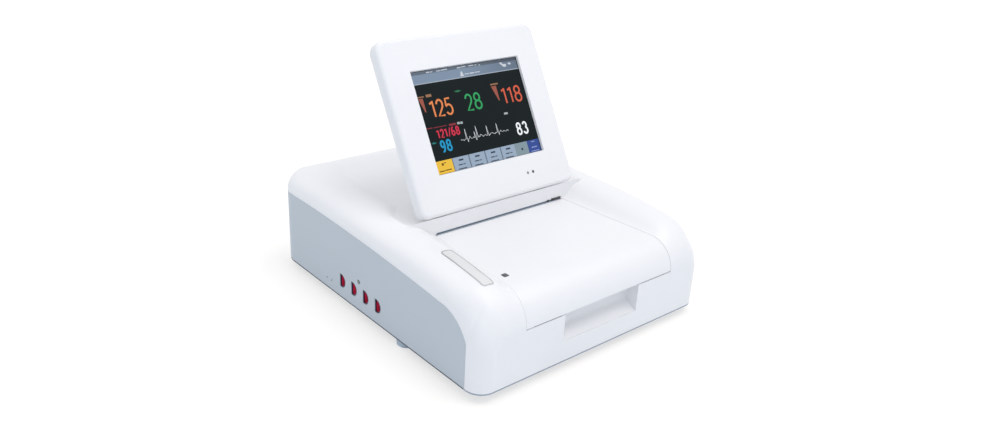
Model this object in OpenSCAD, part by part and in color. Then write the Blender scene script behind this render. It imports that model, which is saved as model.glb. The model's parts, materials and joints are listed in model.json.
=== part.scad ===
// Table-top fetal monitor with a fold-down display, a sliding paper table and a strip recorder.
// Origin: centre of the footprint at the level of the table top. +Z is up and the front faces -Y.

/* [Housing] */
// Width of the body
body_w = 286; // [280:1:294]
// Depth of the body
body_d = 335; // [330:1:342]
// Height of the body's lower edge above the table top
base_z = 10; // [8:0.5:12]
// Wall thickness of the moulded shells
wall = 3; // [2.6:0.1:3.4]
// Plan radius of the two front corners
front_corner_r = 16.5; // [14:0.5:20]
// Plan radius of the two rear corners
rear_corner_r = 29; // [24:1:33]
// Distance from the body's side to the crest of the side rail
crest_inset = 25; // [23:0.5:27]
// Height of the rail's crest above the paper table
rail_rise = 15.4; // [15:0.2:17]
// Length of the curved nose of the rails
nose_len = 37; // [34:1:42]
// Radius of the rounded top edge at the rear
rear_round = 14; // [11:0.5:16]
// Height of the rear rim above the paper table
rim_rise = 17.8; // [17:0.2:19]
// Height of the dish behind the display above the paper table
dish_rise = 11.5; // [11:0.25:12.5]

/* [Side panels] */
// Height of the panel's top edge above the base, at the front
panel_front_h = 66.8; // [64:0.4:68]
// Radius of the panel's upper front corner
panel_corner_r = 39; // [34:1:43]
// Gap round a side panel
panel_gap = 0.25; // [0.15:0.05:0.4]

/* [Sensor sockets] */
// Number of sensor sockets
socket_count = 4; // [3:1:4]
// Radius of a socket's round side
socket_r = 7.1; // [6.6:0.1:7.4]
// Distance from a socket's middle to its flat side
socket_flat = 2.5; // [2:0.1:3.5]
// Distance between sockets
socket_pitch = 20.4; // [20:0.1:22]
// Y position of the socket nearest the front
socket_first_y = -17.8; // [-20:0.1:-15]
// Height of the sockets above the base
socket_rise = 17.6; // [16:0.2:19]
// Depth of a socket's well
socket_depth = 17; // [15:0.5:19]

/* [Paper table] */
// Height of the paper table above the table top
table_z = 86.5; // [85:0.5:88]
// Length of the paper table from the front face to the paper slot
table_len = 142.6; // [140:0.2:145]
// Width of the opening for the paper table at the slot
table_rear_w = 164.6; // [164.2:0.4:170]
// Width of the opening for the paper table at the front
table_front_w = 187; // [178:0.5:188]
// Radius of the table's curved front lip
lip_r = 28.5; // [26:0.5:30]
// Thickness of the paper table
table_t = 3; // [2.6:0.1:3.4]
// Gap between the paper table and the housing
table_gap = 0.5; // [0.35:0.05:0.7]
// Distance that the paper table slides out
table_travel = 110; // [95:1:112]

/* [Finger recess] */
// Width of the finger recess
recess_w = 95; // [86:1:104]
// Height of the finger recess below the lip
recess_h = 27; // [25:0.5:29]
// Depth of the finger recess
recess_d = 13; // [11:0.5:13]

/* [Paper] */
// Width of the fan-fold paper
paper_w = 150; // [146:1:151]
// Length of a paper fold
paper_fold = 100; // [96:1:102]
// Height of the paper pack
pack_h = 10; // [6:0.5:12]

/* [Recorder] */
// Radius of the platen roller
platen_r = 9; // [8.6:0.1:9.4]
// Radius of the platen's bearing journals
journal_r = 3; // [2.6:0.1:3.4]
// Module of the recorder's gears
gear_module = 0.8; // [0.76:0.02:0.82]
// Teeth of the platen gear
platen_teeth = 30; // [30]
// Teeth of the idler gear
idler_teeth = 24; // [24]
// Teeth of the motor pinion
pinion_teeth = 12; // [12]
// Width of the gears
gear_w = 6; // [5:0.5:7]
// Radius of the stepper motor
motor_r = 17.5; // [16:0.5:18]
// Length of the stepper motor
motor_len = 22; // [18:1:24]
// Radial clearance of shafts in their bushes
shaft_play = 0.05; // [0.03:0.01:0.08]

/* [Display] */
// Width of the display housing
disp_w = 194; // [188:1:198]
// Height of the display housing
disp_h = 170.5; // [165:0.5:173]
// Thickness of the display at its rim
disp_rim_t = 11.8; // [11:0.2:12.4]
// Thickness of the display at the middle of its back
disp_t = 23.5; // [23:0.25:24.5]
// Radius of the display's upper corners
disp_top_r = 11.7; // [9:0.1:14]
// Radius of the display's lower corners
disp_foot_r = 7.8; // [6:0.1:9]
// Width of the window
window_w = 132.5; // [128:0.5:136]
// Height of the window
window_h = 99.4; // [96:0.2:102]
// Height of the window's centre above the display's lower edge
window_u = 87.3; // [85:0.1:88]
// Wall thickness of the display housing
disp_wall = 2.5; // [2:0.1:2.8]
// Angle of the display from the horizontal
disp_tilt = 60.5; // [60:0.5:64]
// Radius of the two dots under the window
dot_r = 1.4; // [1.1:0.1:1.6]

/* [Hinge] */
// Height of the hinge axis above the display's lower edge
hinge_u = 19.5; // [18.5:0.25:20.5]
// Depth of the hinge axis behind the display's face
hinge_t = 17; // [16.6:0.1:17.6]
// Radius of the hinge pins
hinge_pin_r = 3; // [2.5:0.1:3.4]
// Radius of the hinge barrels
barrel_r = 6.5; // [6:0.1:6.8]
// Distance from the middle to the centre of each hinge
hinge_x = 62; // [58:0.5:66]

/* [Rear panel] */
// Width of the connector bay at the rear
bay_w = 150; // [140:1:160]
// Height of the connector bay
bay_h = 44; // [40:1:48]
// Depth of the connector bay
bay_d = 13; // [12.5:0.25:14]
// Radius of the earth stud
stud_r = 3; // [2.6:0.1:3.4]

/* [Inside] */
// Width of the power supply
psu_w = 66; // [58:1:68]
// Height of the power supply
psu_h = 34; // [28:1:38]
// Width of the main board
board_w = 148; // [140:1:150]
// Depth of the main board
board_d = 124; // [116:1:124]
// Radius of the loudspeaker
speaker_r = 26; // [22:0.5:28]
// Length of the mains inlet behind the rear panel
inlet_len = 24; // [20:0.5:28]

/* [Base] */
// Radius of a rubber foot
foot_r = 9.5; // [8:0.5:10]
// Distance between the threaded inserts
insert_pitch = 100; // [96:1:104]
// Radius of the thread in an insert
insert_r = 1.65; // [1.4:0.05:2]
// Radius of the housing screws
screw_r = 1.5; // [1.3:0.1:1.8]

/* [Hidden] */
$fn = 48;

// Planes that everything lines up with
front_y = -body_d / 2;
rear_y = body_d / 2;
slot_y = front_y + table_len;
half_w = body_w / 2;
lip_z = table_z - lip_r;
recess_top = lip_z - 0.7;
table_under = table_z - table_t;
slot_half = table_rear_w / 2 - 1.6;

// Shape of the rails, the dish and the nose
sweep_y = slot_y - 17.5;
rear_lift = 2.6;
lift_run = 150;
front_droop = 4.6 / pow(75, 2);
step_extra = 1.8;
slope_power = 1.6;
corner_narrowing = 0.35;
step_z = table_z + rail_rise + step_extra;
trough_z = table_z + dish_rise - 0.7;
dish_z = table_z + dish_rise;
rim_z = table_z + rim_rise;
rim_run = 38;
rim_climb = 24;
dish_half = 85;
trough_half = disp_w / 2 + 5;
trough_end = slot_y + 21.5;
front_edge_z = base_z + 36;

// Top edge of the side panels
panel_curve_y = front_y + front_corner_r + panel_corner_r - 2;
panel_slope = 0.09;
panel_bend = 0.000196;
panel_margin = 1.5;
panel_reveal = 1;

// Side rails of the paper table, as distances from the middle
tray_wall = 1.6;
tray_play = 1;
tray_half = paper_w / 2 + tray_play + tray_wall;
runner_x = tray_half + 2;
runner_t = 1.8;
runner_w = 5.7;
slide_gap = 0.4;
rail_t = 1.5;
rail_x = runner_x + runner_w + slide_gap;
runner_top = table_z - 19;
runner_foot = runner_top - 7;
rail_foot = runner_foot - slide_gap - rail_t;
rail_top = runner_top + slide_gap + rail_t;
rail_rear = slot_y + 73.5;
// A nib at the runner's rear end meets a stop on the tray when the table is fully out
nib_h = 3;
nib_y = rail_rear - 6;
stop_y = nib_y - table_travel - 0.3;
tray_front = front_y + 17;
tray_rear = tray_front + paper_fold + 2 * tray_wall + 2;
tray_floor = rail_foot - rail_t - 2;
tray_top = table_z - 8;

// Recorder
platen_y = slot_y + platen_r + 0.5;
platen_z = table_z - platen_r;
platen_half = paper_w / 2 + 2;
side_plate_t = 1.5;
side_plate_x = rail_x + rail_t + 0.9;
gear_x = side_plate_x + side_plate_t + 2;
gear_plate_x = gear_x + gear_w + 2;
chassis_z = tray_floor - side_plate_t;
chassis_top = table_z + 3.5;
chassis_front = slot_y - 2.5;
chassis_rear = slot_y + 61.5;
idler_angle = -50;
pinion_angle = 20;
centre_1 = gear_module * (platen_teeth + idler_teeth) / 2;
centre_2 = gear_module * (idler_teeth + pinion_teeth) / 2;
idler_y = platen_y + centre_1 * cos(idler_angle);
idler_z = platen_z + centre_1 * sin(idler_angle);
pinion_y = idler_y + centre_2 * cos(pinion_angle);
pinion_z = idler_z + centre_2 * sin(pinion_angle);
gear_backlash = 0.16;
axle_r = 2;
motor_shaft_r = 1.5;
motor_boss_r = 5;
bush_r = journal_r + 2;

// Display and hinge
crease_y = slot_y - 2.5;
crease_z = step_z + 2.2;
lean = 90 - disp_tilt;
hinge_y = crease_y + hinge_u * sin(lean) + hinge_t * cos(lean);
hinge_z = crease_z + hinge_u * cos(lean) - hinge_t * sin(lean);
bracket_w = 11.4;
knuckle_w = 5.5;
washer_t = 0.6;
washer_gap = 0.1;
knuckle_gap = washer_t + 2 * washer_gap;
upright_t = 6;
beam_t = 2;
trough_under = trough_z - wall;
glass_t = 1.6;
lcd_t = 9;
frame_plate_t = 1.5;
glass_back = disp_wall + glass_t;
frame_back = glass_back + lcd_t + frame_plate_t;
display_screw_r = 1.3;
display_screw_head_r = 2.5;
display_screw_head_h = 1.6;
display_screw_in = 9;
display_screw_seat = disp_rim_t + 2.4;
display_boss_r = 3.3;
bumper_r = 5;
bumper_x = disp_w / 2 - 27;
bumper_u = disp_h - 11;
bumper_seat = disp_t - 2.7;
dot_u = 18.6;
lamp_x = 38;
standby_x = 45;
standby_travel = 0.6;

// Table button
button_x = -80.7;
button_y = front_y + 44.4;
button_w = 5.2;
button_proud = 0.4;
button_travel = 1.5;

// Screws, feet and base
boss_x = half_w - 18;
boss_front_y = front_y + 46;
boss_rear_y = rear_y - 45;
pan_gap = 0.5;
pan_t = 3;
pan_top = base_z + pan_t;
screw_head_r = 3.6;
screw_head_h = 2.4;
bay_z = base_z + 12;
panel_plate_t = 2;
bay_back = rear_y - 2 - bay_d;
inlet_x = 48;
stud_x = 12;
port_xs = [-22, -48];
connector_z = bay_z + bay_h / 2;
label_front = front_y + 29;
label_rear = front_y + 88;
label_x0 = half_w - crest_inset - 12.5;
label_x1 = half_w - crest_inset;
label_t = 0.9;
label_sink = 0.25;
contact_r = 0.5;
contact_ring = 2.2;
contact_y = -2.2;
board_z = base_z + 14;
board_t = 1.6;

// Colours
white = "#f4f5f8";
panel_blue = "#b9c4cf";
steel = "#b4b8bc";
dark = "#26282c";
board_green = "#2f6b45";

// A number held between 0 and 1
function unit(t) = min(1, max(0, t));
// A soft step from 0 to 1
function ease(t) = unit(t) * unit(t) * (3 - 2 * unit(t));
// How far a corner of radius r falls away at a distance d into it
function arc_drop(r, d) = r - sqrt(max(0, r * r - pow(min(r, max(0, d)), 2)));
// How full a quarter round nose of length r is at depth y
function nose_fill(y, r) = sqrt(max(0, 1 - pow(unit((front_y + r - y) / r), 2)));
// The outer surface's y that belongs to a y of the surface that lies a distance in inside it
function outer_y(y, in) = y + in * max(-1, min(1, y / 30));
// Half width of the body at depth y
function half_width(y, in) = half_w - in
    - arc_drop(front_corner_r - in, front_y + front_corner_r - y)
    - arc_drop(rear_corner_r - in, y - rear_y + rear_corner_r);
// Height of the rail's crest, without and with its rounded ends
function crest_line(y) = table_z + rail_rise + rear_lift * ease((y - sweep_y) / lift_run)
    - front_droop * pow(max(0, sweep_y - y), 2);
function crest(y) = lip_z + (crest_line(y) - lip_z) * nose_fill(y, nose_len)
    - arc_drop(rear_round, y - rear_y + rear_round);
// Height where the flat side ends and the rail's round begins
function side_top(y) =
    let (t = max(0, y - panel_curve_y))
    max(front_edge_z, base_z + panel_front_h + panel_slope * t - panel_bend * t * t
        - arc_drop(panel_corner_r, panel_curve_y - y));
// Level between the rails: the paper table in front of the slot, the trough, dish and rim behind it
function table_line(y) = lip_z + (table_z - lip_z) * nose_fill(y, lip_r);
function dish_line(y) =
    let (low = lookup(y, [
        [slot_y, step_z],
        [slot_y + 8, trough_z],
        [trough_end, trough_z],
        [trough_end + 11, dish_z],
        [rear_y - rim_run, dish_z + 1.5]
    ]))
    low + (rim_z - low) * ease((y - rear_y + rim_run) / rim_climb)
        - arc_drop(rear_round, y - rear_y + rear_round);
function floor_line(y, in) =
    y < slot_y + in ? table_line(outer_y(y, in)) : dish_line(outer_y(y, in));
// Half width of the floor between the rails
function table_half(y) =
    table_rear_w / 2 + (table_front_w - table_rear_w) / 2 * (slot_y - y) / table_len;
function floor_half(y, in) = y < slot_y + in
    ? table_half(y) - 0.6
    : trough_half - (trough_half - dish_half) * ease((y - trough_end - 11) / 26);
function crest_x(y) = half_w - crest_inset - corner_narrowing * (half_w - half_width(y, 0));
// How full the rail's inner slope is at t, from 0 at the crest to 1 at its foot
function slope_fill(t) = (1 + cos(180 * pow(t, slope_power))) / 2;
// Height of the rail's outer round and of its inner slope at a point of the plan
function round_z(x, y) =
    let (xc = crest_x(y), t = unit((x - xc) / (half_width(y, 0) - xc)))
    side_top(y) + (crest(y) - side_top(y)) * sqrt(1 - t * t);
function slope_z(x, y) =
    let (xc = crest_x(y), xf = floor_half(y, 0), t = unit((xc - x) / (xc - xf)))
    floor_line(y, 0) + (crest(y) - floor_line(y, 0)) * slope_fill(t);

// One section of the body across its width, as a closed ring
function half_section(y, in, bottom, n) =
    let (
        h = half_width(y, in),
        yo = outer_y(y, in),
        zs = side_top(yo),
        zc = crest(yo) - in,
        zf = floor_line(y, in) - in,
        xc = crest_x(y) - in * 0.3,
        xf = floor_half(y, in) - in * 0.3
    )
    concat(
        [[h, y, bottom], [h, y, zs]],
        [for (k = [1:n]) [xc + (h - xc) * cos(90 * k / n), y, zs + (zc - zs) * sin(90 * k / n)]],
        [for (k = [1:n]) [xc + (xf - xc) * k / n, y, zf + (zc - zf) * slope_fill(k / n)]],
        [for (k = [1:3]) [xf * (1 - k / 3), y, zf]]
    );
function section(y, in, bottom, n) =
    let (right = half_section(y, in, bottom, n), last = len(right) - 1)
    concat(right, [for (i = [last - 1:-1:0]) [-right[i][0], y, right[i][2]]]);
// Depths at which the body is cut into sections: close together where it curves
function stations(in, n_end, n_mid) = concat(
    [for (k = [0:n_end]) front_y + in + (nose_len - in) * (1 - cos(90 * k / n_end))],
    [for (k = [1:n_mid]) front_y + nose_len + (table_len - nose_len + in - 0.05) * k / n_mid],
    [slot_y + in, slot_y + in + 3, slot_y + in / 2 + 8, trough_end, trough_end + 6, trough_end + 12],
    [for (k = [1:n_mid]) trough_end + 12 + (rear_y - rim_run - trough_end - 12) * k / n_mid],
    [for (k = [1:6]) rear_y - rim_run + (rim_run - rear_round) * k / 6],
    [for (k = [1:floor(n_end / 2) + 1])
        rear_y - rear_round + (rear_round - in) * sin(90 * k / (floor(n_end / 2) + 1))]
);

// A closed skin through rings of equal length
module skin(rings) {
    m = len(rings[0]);
    last = (len(rings) - 1) * m;
    polyhedron(
        points = [for (r = rings) each r],
        faces = concat(
            [[for (i = [m - 1:-1:0]) i]],
            [[for (i = [0:m - 1]) last + i]],
            [for (j = [0:len(rings) - 2]) for (i = [0:m - 1])
                let (a = j * m + i, b = j * m + (i + 1) % m)
                each [[a, b + m, a + m], [a, b, b + m]]]
        )
    );
}
module body_form(in, bottom, n_end, n_mid, n) {
    skin([for (y = stations(in, n_end, n_mid)) section(y, in, bottom, n)]);
}

// Basic shapes placed by their corners or their axis
module block(x, y, z) {
    translate([x[0], y[0], z[0]]) cube([x[1] - x[0], y[1] - y[0], z[1] - z[0]]);
}
module rod_x(r, x, y, z) {
    translate([x[0], y, z]) rotate([0, 90, 0]) cylinder(r = r, h = x[1] - x[0]);
}
module rod_y(r, x, y, z) {
    translate([x, y[1], z]) rotate([90, 0, 0]) cylinder(r = r, h = y[1] - y[0]);
}
module rod_z(r, x, y, z) {
    translate([x, y, z[0]]) cylinder(r = r, h = z[1] - z[0]);
}
// A profile drawn in (y, z) and drawn out along x
module along_x(x) {
    translate([x[0], 0, 0]) rotate([90, 0, 90]) linear_extrude(x[1] - x[0]) children();
}
// The same on both sides of the middle
module both_sides() {
    children();
    mirror([1, 0, 0]) children();
}
// Everything drawn in the display's own frame: x across, y backwards from its face, z up its face
module on_display() {
    translate([0, crease_y, crease_z]) rotate([-lean, 0, 0]) children();
}

// Housing
// The plan of the body, a distance in inside its outline
module plan(in) {
    w = half_w - in;
    f = front_corner_r - in;
    r = rear_corner_r - in;
    translate([-w, front_y + front_corner_r]) square([2 * w, body_d - front_corner_r - rear_corner_r]);
    translate([-w + f, front_y + in]) square([2 * (w - f), body_d / 2]);
    translate([-w + r, 0]) square([2 * (w - r), body_d / 2 - in]);
    for (s = [-1, 1]) {
        translate([s * (w - f), front_y + front_corner_r]) circle(f);
        translate([s * (w - r), rear_y - rear_corner_r]) circle(r);
    }
}
// Outline of a side panel in (y, z), shrunk by g, from its front end to behind the rear face
module side_outline(g, bottom) {
    y0 = front_y + front_corner_r + panel_margin + g;
    y1 = rear_y + 1;
    steps = 26;
    polygon(concat(
        [[y0, bottom]],
        [for (k = [0:steps])
            let (y = y0 + (y1 - y0) * pow(k / steps, 1.6))
            [y, side_top(y) - panel_reveal - g]],
        [[y1, bottom]]
    ));
}
// Wedge that the paper table slides in, widened by g on each side
module table_wedge(g) {
    y0 = front_y - 1;
    polygon([
        [-table_half(y0) - g, y0],
        [table_half(y0) + g, y0],
        [table_half(slot_y) + g, slot_y],
        [-table_half(slot_y) - g, slot_y]
    ]);
}
// Profile of the finger recess in (y, z), a distance g outside its surface
module recess_profile(g) {
    z0 = recess_top - recess_h;
    polygon([
        [front_y - (g > 0 ? -1 : 1), z0 - g],
        [front_y + 1, z0 - g],
        [front_y + recess_d - 2 + g * 0.5, z0 + 7 - g],
        [front_y + recess_d + g, z0 + 11],
        [front_y + recess_d + g, recess_top],
        [front_y - (g > 0 ? -1 : 1), recess_top]
    ]);
}
module screw_boss(y) {
    top = round_z(boss_x, y) - wall * 0.75;
    translate([boss_x, y, pan_top + wall]) cylinder(r = 4, h = top - pan_top - wall);
}
module upper_housing() {
    color(white) difference() {
        union() {
            difference() {
                body_form(0, base_z, 10, 5, 8);
                body_form(wall, base_z - 15, 7, 3, 4);
                translate([0, 0, recess_top]) linear_extrude(100) table_wedge(0);
                both_sides() along_x([half_w - rear_corner_r, half_w + 1]) side_outline(0, base_z - 1);
                block([-bay_w / 2 - pan_gap, bay_w / 2 + pan_gap], [rear_y - 6, rear_y + 1],
                    [bay_z - pan_gap, bay_z + bay_h + pan_gap]);
            }
            along_x([-recess_w / 2 - 2.5, recess_w / 2 + 2.5]) recess_profile(2.5);
            both_sides() screw_boss(boss_front_y);
            both_sides() screw_boss(boss_rear_y);
        }
        along_x([-recess_w / 2, recess_w / 2]) recess_profile(0);
        block([-slot_half, slot_half], [slot_y - 1, slot_y + wall + 1], [table_z - 12, table_z + 2]);
        both_sides() block(
            [hinge_x - bracket_w / 2 - 0.6, hinge_x + bracket_w / 2 + 0.6],
            [hinge_y - upright_t / 2 - 1, hinge_y + upright_t / 2 + 1],
            [trough_under - 1, trough_z + 4]);
        both_sides() for (y = [boss_front_y, boss_rear_y])
            rod_z(screw_r, boss_x, y, [pan_top, pan_top + 22]);
        label_form();
    }
}

// A socket's keyed outline in (y, z): round with one flat
module socket_shape(grow) {
    r = socket_r + grow;
    intersection() {
        circle(r);
        translate([-r - 1, -r - 1]) square([r + 1 + socket_flat + grow, 2 * r + 2]);
    }
}
// The six contacts of a socket, from x0 to x1
module at_contacts(x0, x1) {
    for (a = [0:60:300])
        rod_x(contact_r, [x0, x1], contact_y + contact_ring * cos(a), contact_ring * sin(a));
}
module at_socket(i) {
    translate([0, socket_first_y + (i - 1) * socket_pitch, base_z + socket_rise]) children();
}
// A side panel runs round the rear corner and ends where the rear face is flat
module side_panel() {
    intersection() {
        along_x([-half_w, -half_w + rear_corner_r - panel_gap]) side_outline(panel_gap, base_z);
        linear_extrude(table_z + rail_rise) difference() {
            plan(0);
            plan(wall);
        }
    }
    for (y = [front_y + 40, rear_y - 40])
        block([-half_w + wall, -half_w + wall + 2], [y - 1, y + 1], [base_z + pan_t + 1, base_z + 60]);
}
module side_panel_left() {
    color(panel_blue) difference() {
        side_panel();
        for (i = [1:socket_count])
            at_socket(i) along_x([-half_w - 1, -half_w + wall + 1]) socket_shape(0.15);
        rod_x(2.35, [-half_w - 1, -half_w + wall + 1], side_lamp_y(), side_lamp_z());
        for (y = side_screw_ys())
            rod_x(1.5, [-half_w - 1, -half_w + wall + 1], y, side_screw_z());
    }
}
function side_lamp_y() = socket_first_y + 30;
function side_lamp_z() = base_z + socket_rise + 12;
function side_screw_ys() = [socket_first_y + 79.6, socket_first_y + 88.4];
function side_screw_z() = base_z + 10;
module side_panel_right() {
    color(panel_blue) mirror([1, 0, 0]) side_panel();
}
module side_screws() {
    color(steel) for (y = side_screw_ys()) difference() {
        rod_x(1.5, [-half_w + 0.3, -half_w + wall + 5], y, side_screw_z());
        rod_x(0.7, [-half_w - 1, -half_w + 1.2], y, side_screw_z());
    }
}
module side_lamp() {
    color("#34423c") union() {
        rod_x(2.35, [-half_w + 0.1, -half_w + wall], side_lamp_y(), side_lamp_z());
        rod_x(3.4, [-half_w + wall, -half_w + wall + 2], side_lamp_y(), side_lamp_z());
    }
}
module sensor_socket(i) {
    x0 = -half_w + 0.15;
    x1 = -half_w + socket_depth;
    color("#c8243c") at_socket(i) difference() {
        union() {
            along_x([x0, x1]) socket_shape(0);
            along_x([-half_w + wall, -half_w + wall + 1.5]) socket_shape(2);
        }
        along_x([x0 - 1, x1 - 2]) socket_shape(-1.1);
        at_contacts(x1 - 3, x1 + 1);
    }
}
module socket_pins() {
    x1 = -half_w + socket_depth;
    color("#c9a441") for (i = [1:socket_count]) at_socket(i) at_contacts(x1 - 6.5, x1 + board_t + 0.2);
}
module socket_board() {
    x1 = -half_w + socket_depth;
    last_y = socket_first_y + (socket_count - 1) * socket_pitch;
    color(board_green) difference() {
        block([x1, x1 + board_t], [socket_first_y - 12, last_y + 12], [pan_top, base_z + 38]);
        for (i = [1:socket_count]) at_socket(i) at_contacts(x1 - 1, x1 + board_t + 1);
    }
}
// Plate that follows the left rail's inner slope, let into it by a little
module label_form() {
    steps = 14;
    rows = 6;
    corner = 2.5;
    function inset(y) =
        arc_drop(corner, label_front + corner - y) + arc_drop(corner, y - label_rear + corner);
    function across(y, k) = label_x0 + inset(y) + (label_x1 - label_x0 - 2 * inset(y)) * k / rows;
    function along(k) = label_front + (label_rear - label_front) * (1 - cos(180 * k / steps)) / 2;
    skin([for (j = [0:steps]) let (y = along(j)) concat(
        [for (k = [0:rows]) let (x = across(y, k)) [-x, y, slope_z(x, y) - label_sink]],
        [for (k = [rows:-1:0]) let (x = across(y, k)) [-x, y, slope_z(x, y) + label_t]]
    )]);
}
module label_plate() {
    color(steel) label_form();
}

// Base
module at_corners(x, y) {
    for (sx = [-1, 1]) for (sy = [-1, 1]) translate([sx * x, sy * y, 0]) children();
}
module base_pan() {
    pan_in = wall + pan_gap;
    color("#d5d9de") difference() {
        union() {
            translate([0, 0, base_z]) linear_extrude(pan_t) plan(pan_in);
            at_corners(insert_pitch / 2, insert_pitch / 2)
                translate([0, 0, base_z]) cylinder(r = 6, h = pan_t + 9);
            for (y = [boss_front_y, boss_rear_y]) both_sides()
                translate([boss_x, y, base_z]) cylinder(r = 6.5, h = pan_t + wall);
            at_board_posts() translate([0, 0, base_z]) cylinder(r = 3, h = board_z - base_z);
        }
        at_corners(insert_pitch / 2, insert_pitch / 2)
            translate([0, 0, base_z - 1]) cylinder(r = insert_r + 1.35, h = pan_t + 8);
        for (y = [boss_front_y, boss_rear_y]) both_sides() {
            rod_z(screw_r + 0.3, boss_x, y, [base_z - 1, pan_top + wall + 1]);
            rod_z(screw_head_r + 0.4, boss_x, y, [base_z - 1, base_z + screw_head_h + 0.4]);
        }
        for (k = [0:6])
            block([psu_x0 + 8 + 7 * k, psu_x0 + 11 + 7 * k], [psu_y0 + 8, psu_y1 - 8],
                [base_z - 1, pan_top + 1]);
        for (k = [-3:3])
            block([speaker_x - 16 + abs(k) * 2.4, speaker_x + 16 - abs(k) * 2.4],
                [speaker_y + 5 * k - 1.2, speaker_y + 5 * k + 1.2], [base_z - 1, pan_top + 1]);
    }
}
board_y = -26;
module at_board_posts() {
    translate([0, board_y, 0]) at_corners(board_w / 2 - 8, board_d / 2 - 6) children();
}
psu_x0 = 58;
psu_y0 = chassis_rear + 6.5;
psu_y1 = bay_back - inlet_len - 25.4;
speaker_x = -88;
speaker_y = rear_y - 62;
foot_places = [
    [84, front_y + 17], [-84, front_y + 17],
    [half_w - 11, slot_y - 26], [-half_w + 11, slot_y - 26],
    [100, rear_y - 22], [-100, rear_y - 22]
];
module rubber_feet() {
    color("#6d7278") for (p = foot_places) translate([p[0], p[1], 0]) rotate_extrude()
        polygon([[0, 0], [foot_r - 1.5, 0], [foot_r - 0.5, 1], [foot_r, base_z], [0, base_z]]);
}
module mount_inserts() {
    color("#b59a4c") at_corners(insert_pitch / 2, insert_pitch / 2) difference() {
        translate([0, 0, base_z]) cylinder(r = insert_r + 1.35, h = pan_t + 7);
        translate([0, 0, base_z - 1]) cylinder(r = insert_r, h = pan_t + 6);
    }
}
module housing_screws() {
    color(steel) for (y = [boss_front_y, boss_rear_y]) both_sides() difference() {
        union() {
            rod_z(screw_r, boss_x, y, [base_z + 0.4, pan_top + 20]);
            rod_z(screw_head_r, boss_x, y, [base_z + 0.4, base_z + 0.4 + screw_head_h]);
        }
        translate([boss_x, y, base_z]) cylinder(r = 1.6, h = 1.8, $fn = 6);
    }
}
module main_board() {
    color(board_green) difference() {
        block([-board_w / 2, board_w / 2], [board_y - board_d / 2, board_y + board_d / 2],
            [board_z, board_z + board_t]);
        at_board_posts() translate([0, 0, board_z - 1]) cylinder(r = 1.4, h = 4);
        at_corners(insert_pitch / 2, insert_pitch / 2)
            translate([0, 0, board_z - 1]) cylinder(r = 6.5, h = 4);
    }
    color(dark) translate([0, board_y, board_z + board_t]) {
        block([-30, 2], [-24, 8], [0, 3]);
        block([18, 40], [-20, 4], [0, 2.5]);
        block([-28, 20], [34, 46], [0, 8]);
    }
}
module power_supply() {
    color("#9da2a6") difference() {
        block([psu_x0, psu_x0 + psu_w], [psu_y0, psu_y1], [pan_top, pan_top + psu_h]);
        for (k = [0:5]) translate([psu_x0 + psu_w * (0.12 + 0.135 * k), 0, 0])
            block([0, 4], [psu_y0 + 8, psu_y1 - 8], [pan_top + psu_h - 1.5, pan_top + psu_h + 1]);
    }
}
module loudspeaker() {
    r = speaker_r;
    color(dark) translate([speaker_x, speaker_y, pan_top]) rotate_extrude() polygon([
        [r - 8, 0], [r, 0], [r, 4], [r - 2, 5], [r / 2, 13], [r / 2, 21], [0, 21], [0, 9], [6, 9], [r - 14, 5]
    ]);
}

// Rear panel and its connectors
module rear_panel() {
    x = bay_w / 2;
    z = [bay_z, bay_z + bay_h];
    color("#c3cad1") difference() {
        union() {
            block([-x, x], [bay_back - panel_plate_t, rear_y - 2], z);
            block([-x - 4, x + 4], [rear_y - wall - 2, rear_y - wall], [z[0] - 4, z[1] + 4]);
        }
        block([-x + 2, x - 2], [bay_back, rear_y + 1], [z[0] + 2, z[1] - 2]);
        block([inlet_x - 13.6, inlet_x + 13.6], [bay_back - 9, bay_back + 1],
            [connector_z - 9.6, connector_z + 9.6]);
        rod_y(stud_r, stud_x, [bay_back - 9, bay_back + 1], connector_z);
        for (px = port_xs)
            block([px - 8.2, px + 8.2], [bay_back - 9, bay_back + 1], [connector_z - 7.2, connector_z + 7.2]);
    }
}
module mains_inlet() {
    y1 = bay_back + 2;
    color(dark) translate([inlet_x, 0, connector_z]) difference() {
        union() {
            block([-13.6, 13.6], [bay_back - inlet_len, y1], [-9.6, 9.6]);
            block([-16, 16], [bay_back, bay_back + 2], [-12, 12]);
        }
        translate([0, y1 + 1, 0]) rotate([90, 0, 0]) linear_extrude(inlet_len - 7) polygon([
            [-12, -8.2], [12, -8.2], [12, 4.2], [8, 8.2], [-8, 8.2], [-12, 4.2]
        ]);
    }
}
module inlet_blades() {
    y = [bay_back - inlet_len + 10, bay_back - 1.5];
    color("#c0c2c4") translate([inlet_x, 0, connector_z]) {
        for (x = [-7, 7]) block([x - 1, x + 1], y, [-3, 1]);
        block([-1, 1], [y[0], y[1] + 1.5], [1.5, 5.5]);
    }
}
module earth_stud() {
    color("#c9a441") translate([stud_x, 0, connector_z]) union() {
        rod_y(stud_r, 0, [bay_back - 8, rear_y - 3], 0);
        translate([0, bay_back + 3, 0]) rotate([90, 0, 0]) cylinder(r = stud_r + 3.5, h = 3, $fn = 6);
    }
}
module data_ports() {
    color("#9aa0a6") for (px = port_xs) translate([px, 0, connector_z]) difference() {
        block([-8.2, 8.2], [bay_back - 19, bay_back + 1], [-7.2, 7.2]);
        block([-6, 6], [bay_back - 13, bay_back + 2], [-4.6, 4.2]);
        block([-2.4, 2.4], [bay_back - 13, bay_back + 2], [4, 6]);
    }
}

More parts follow.
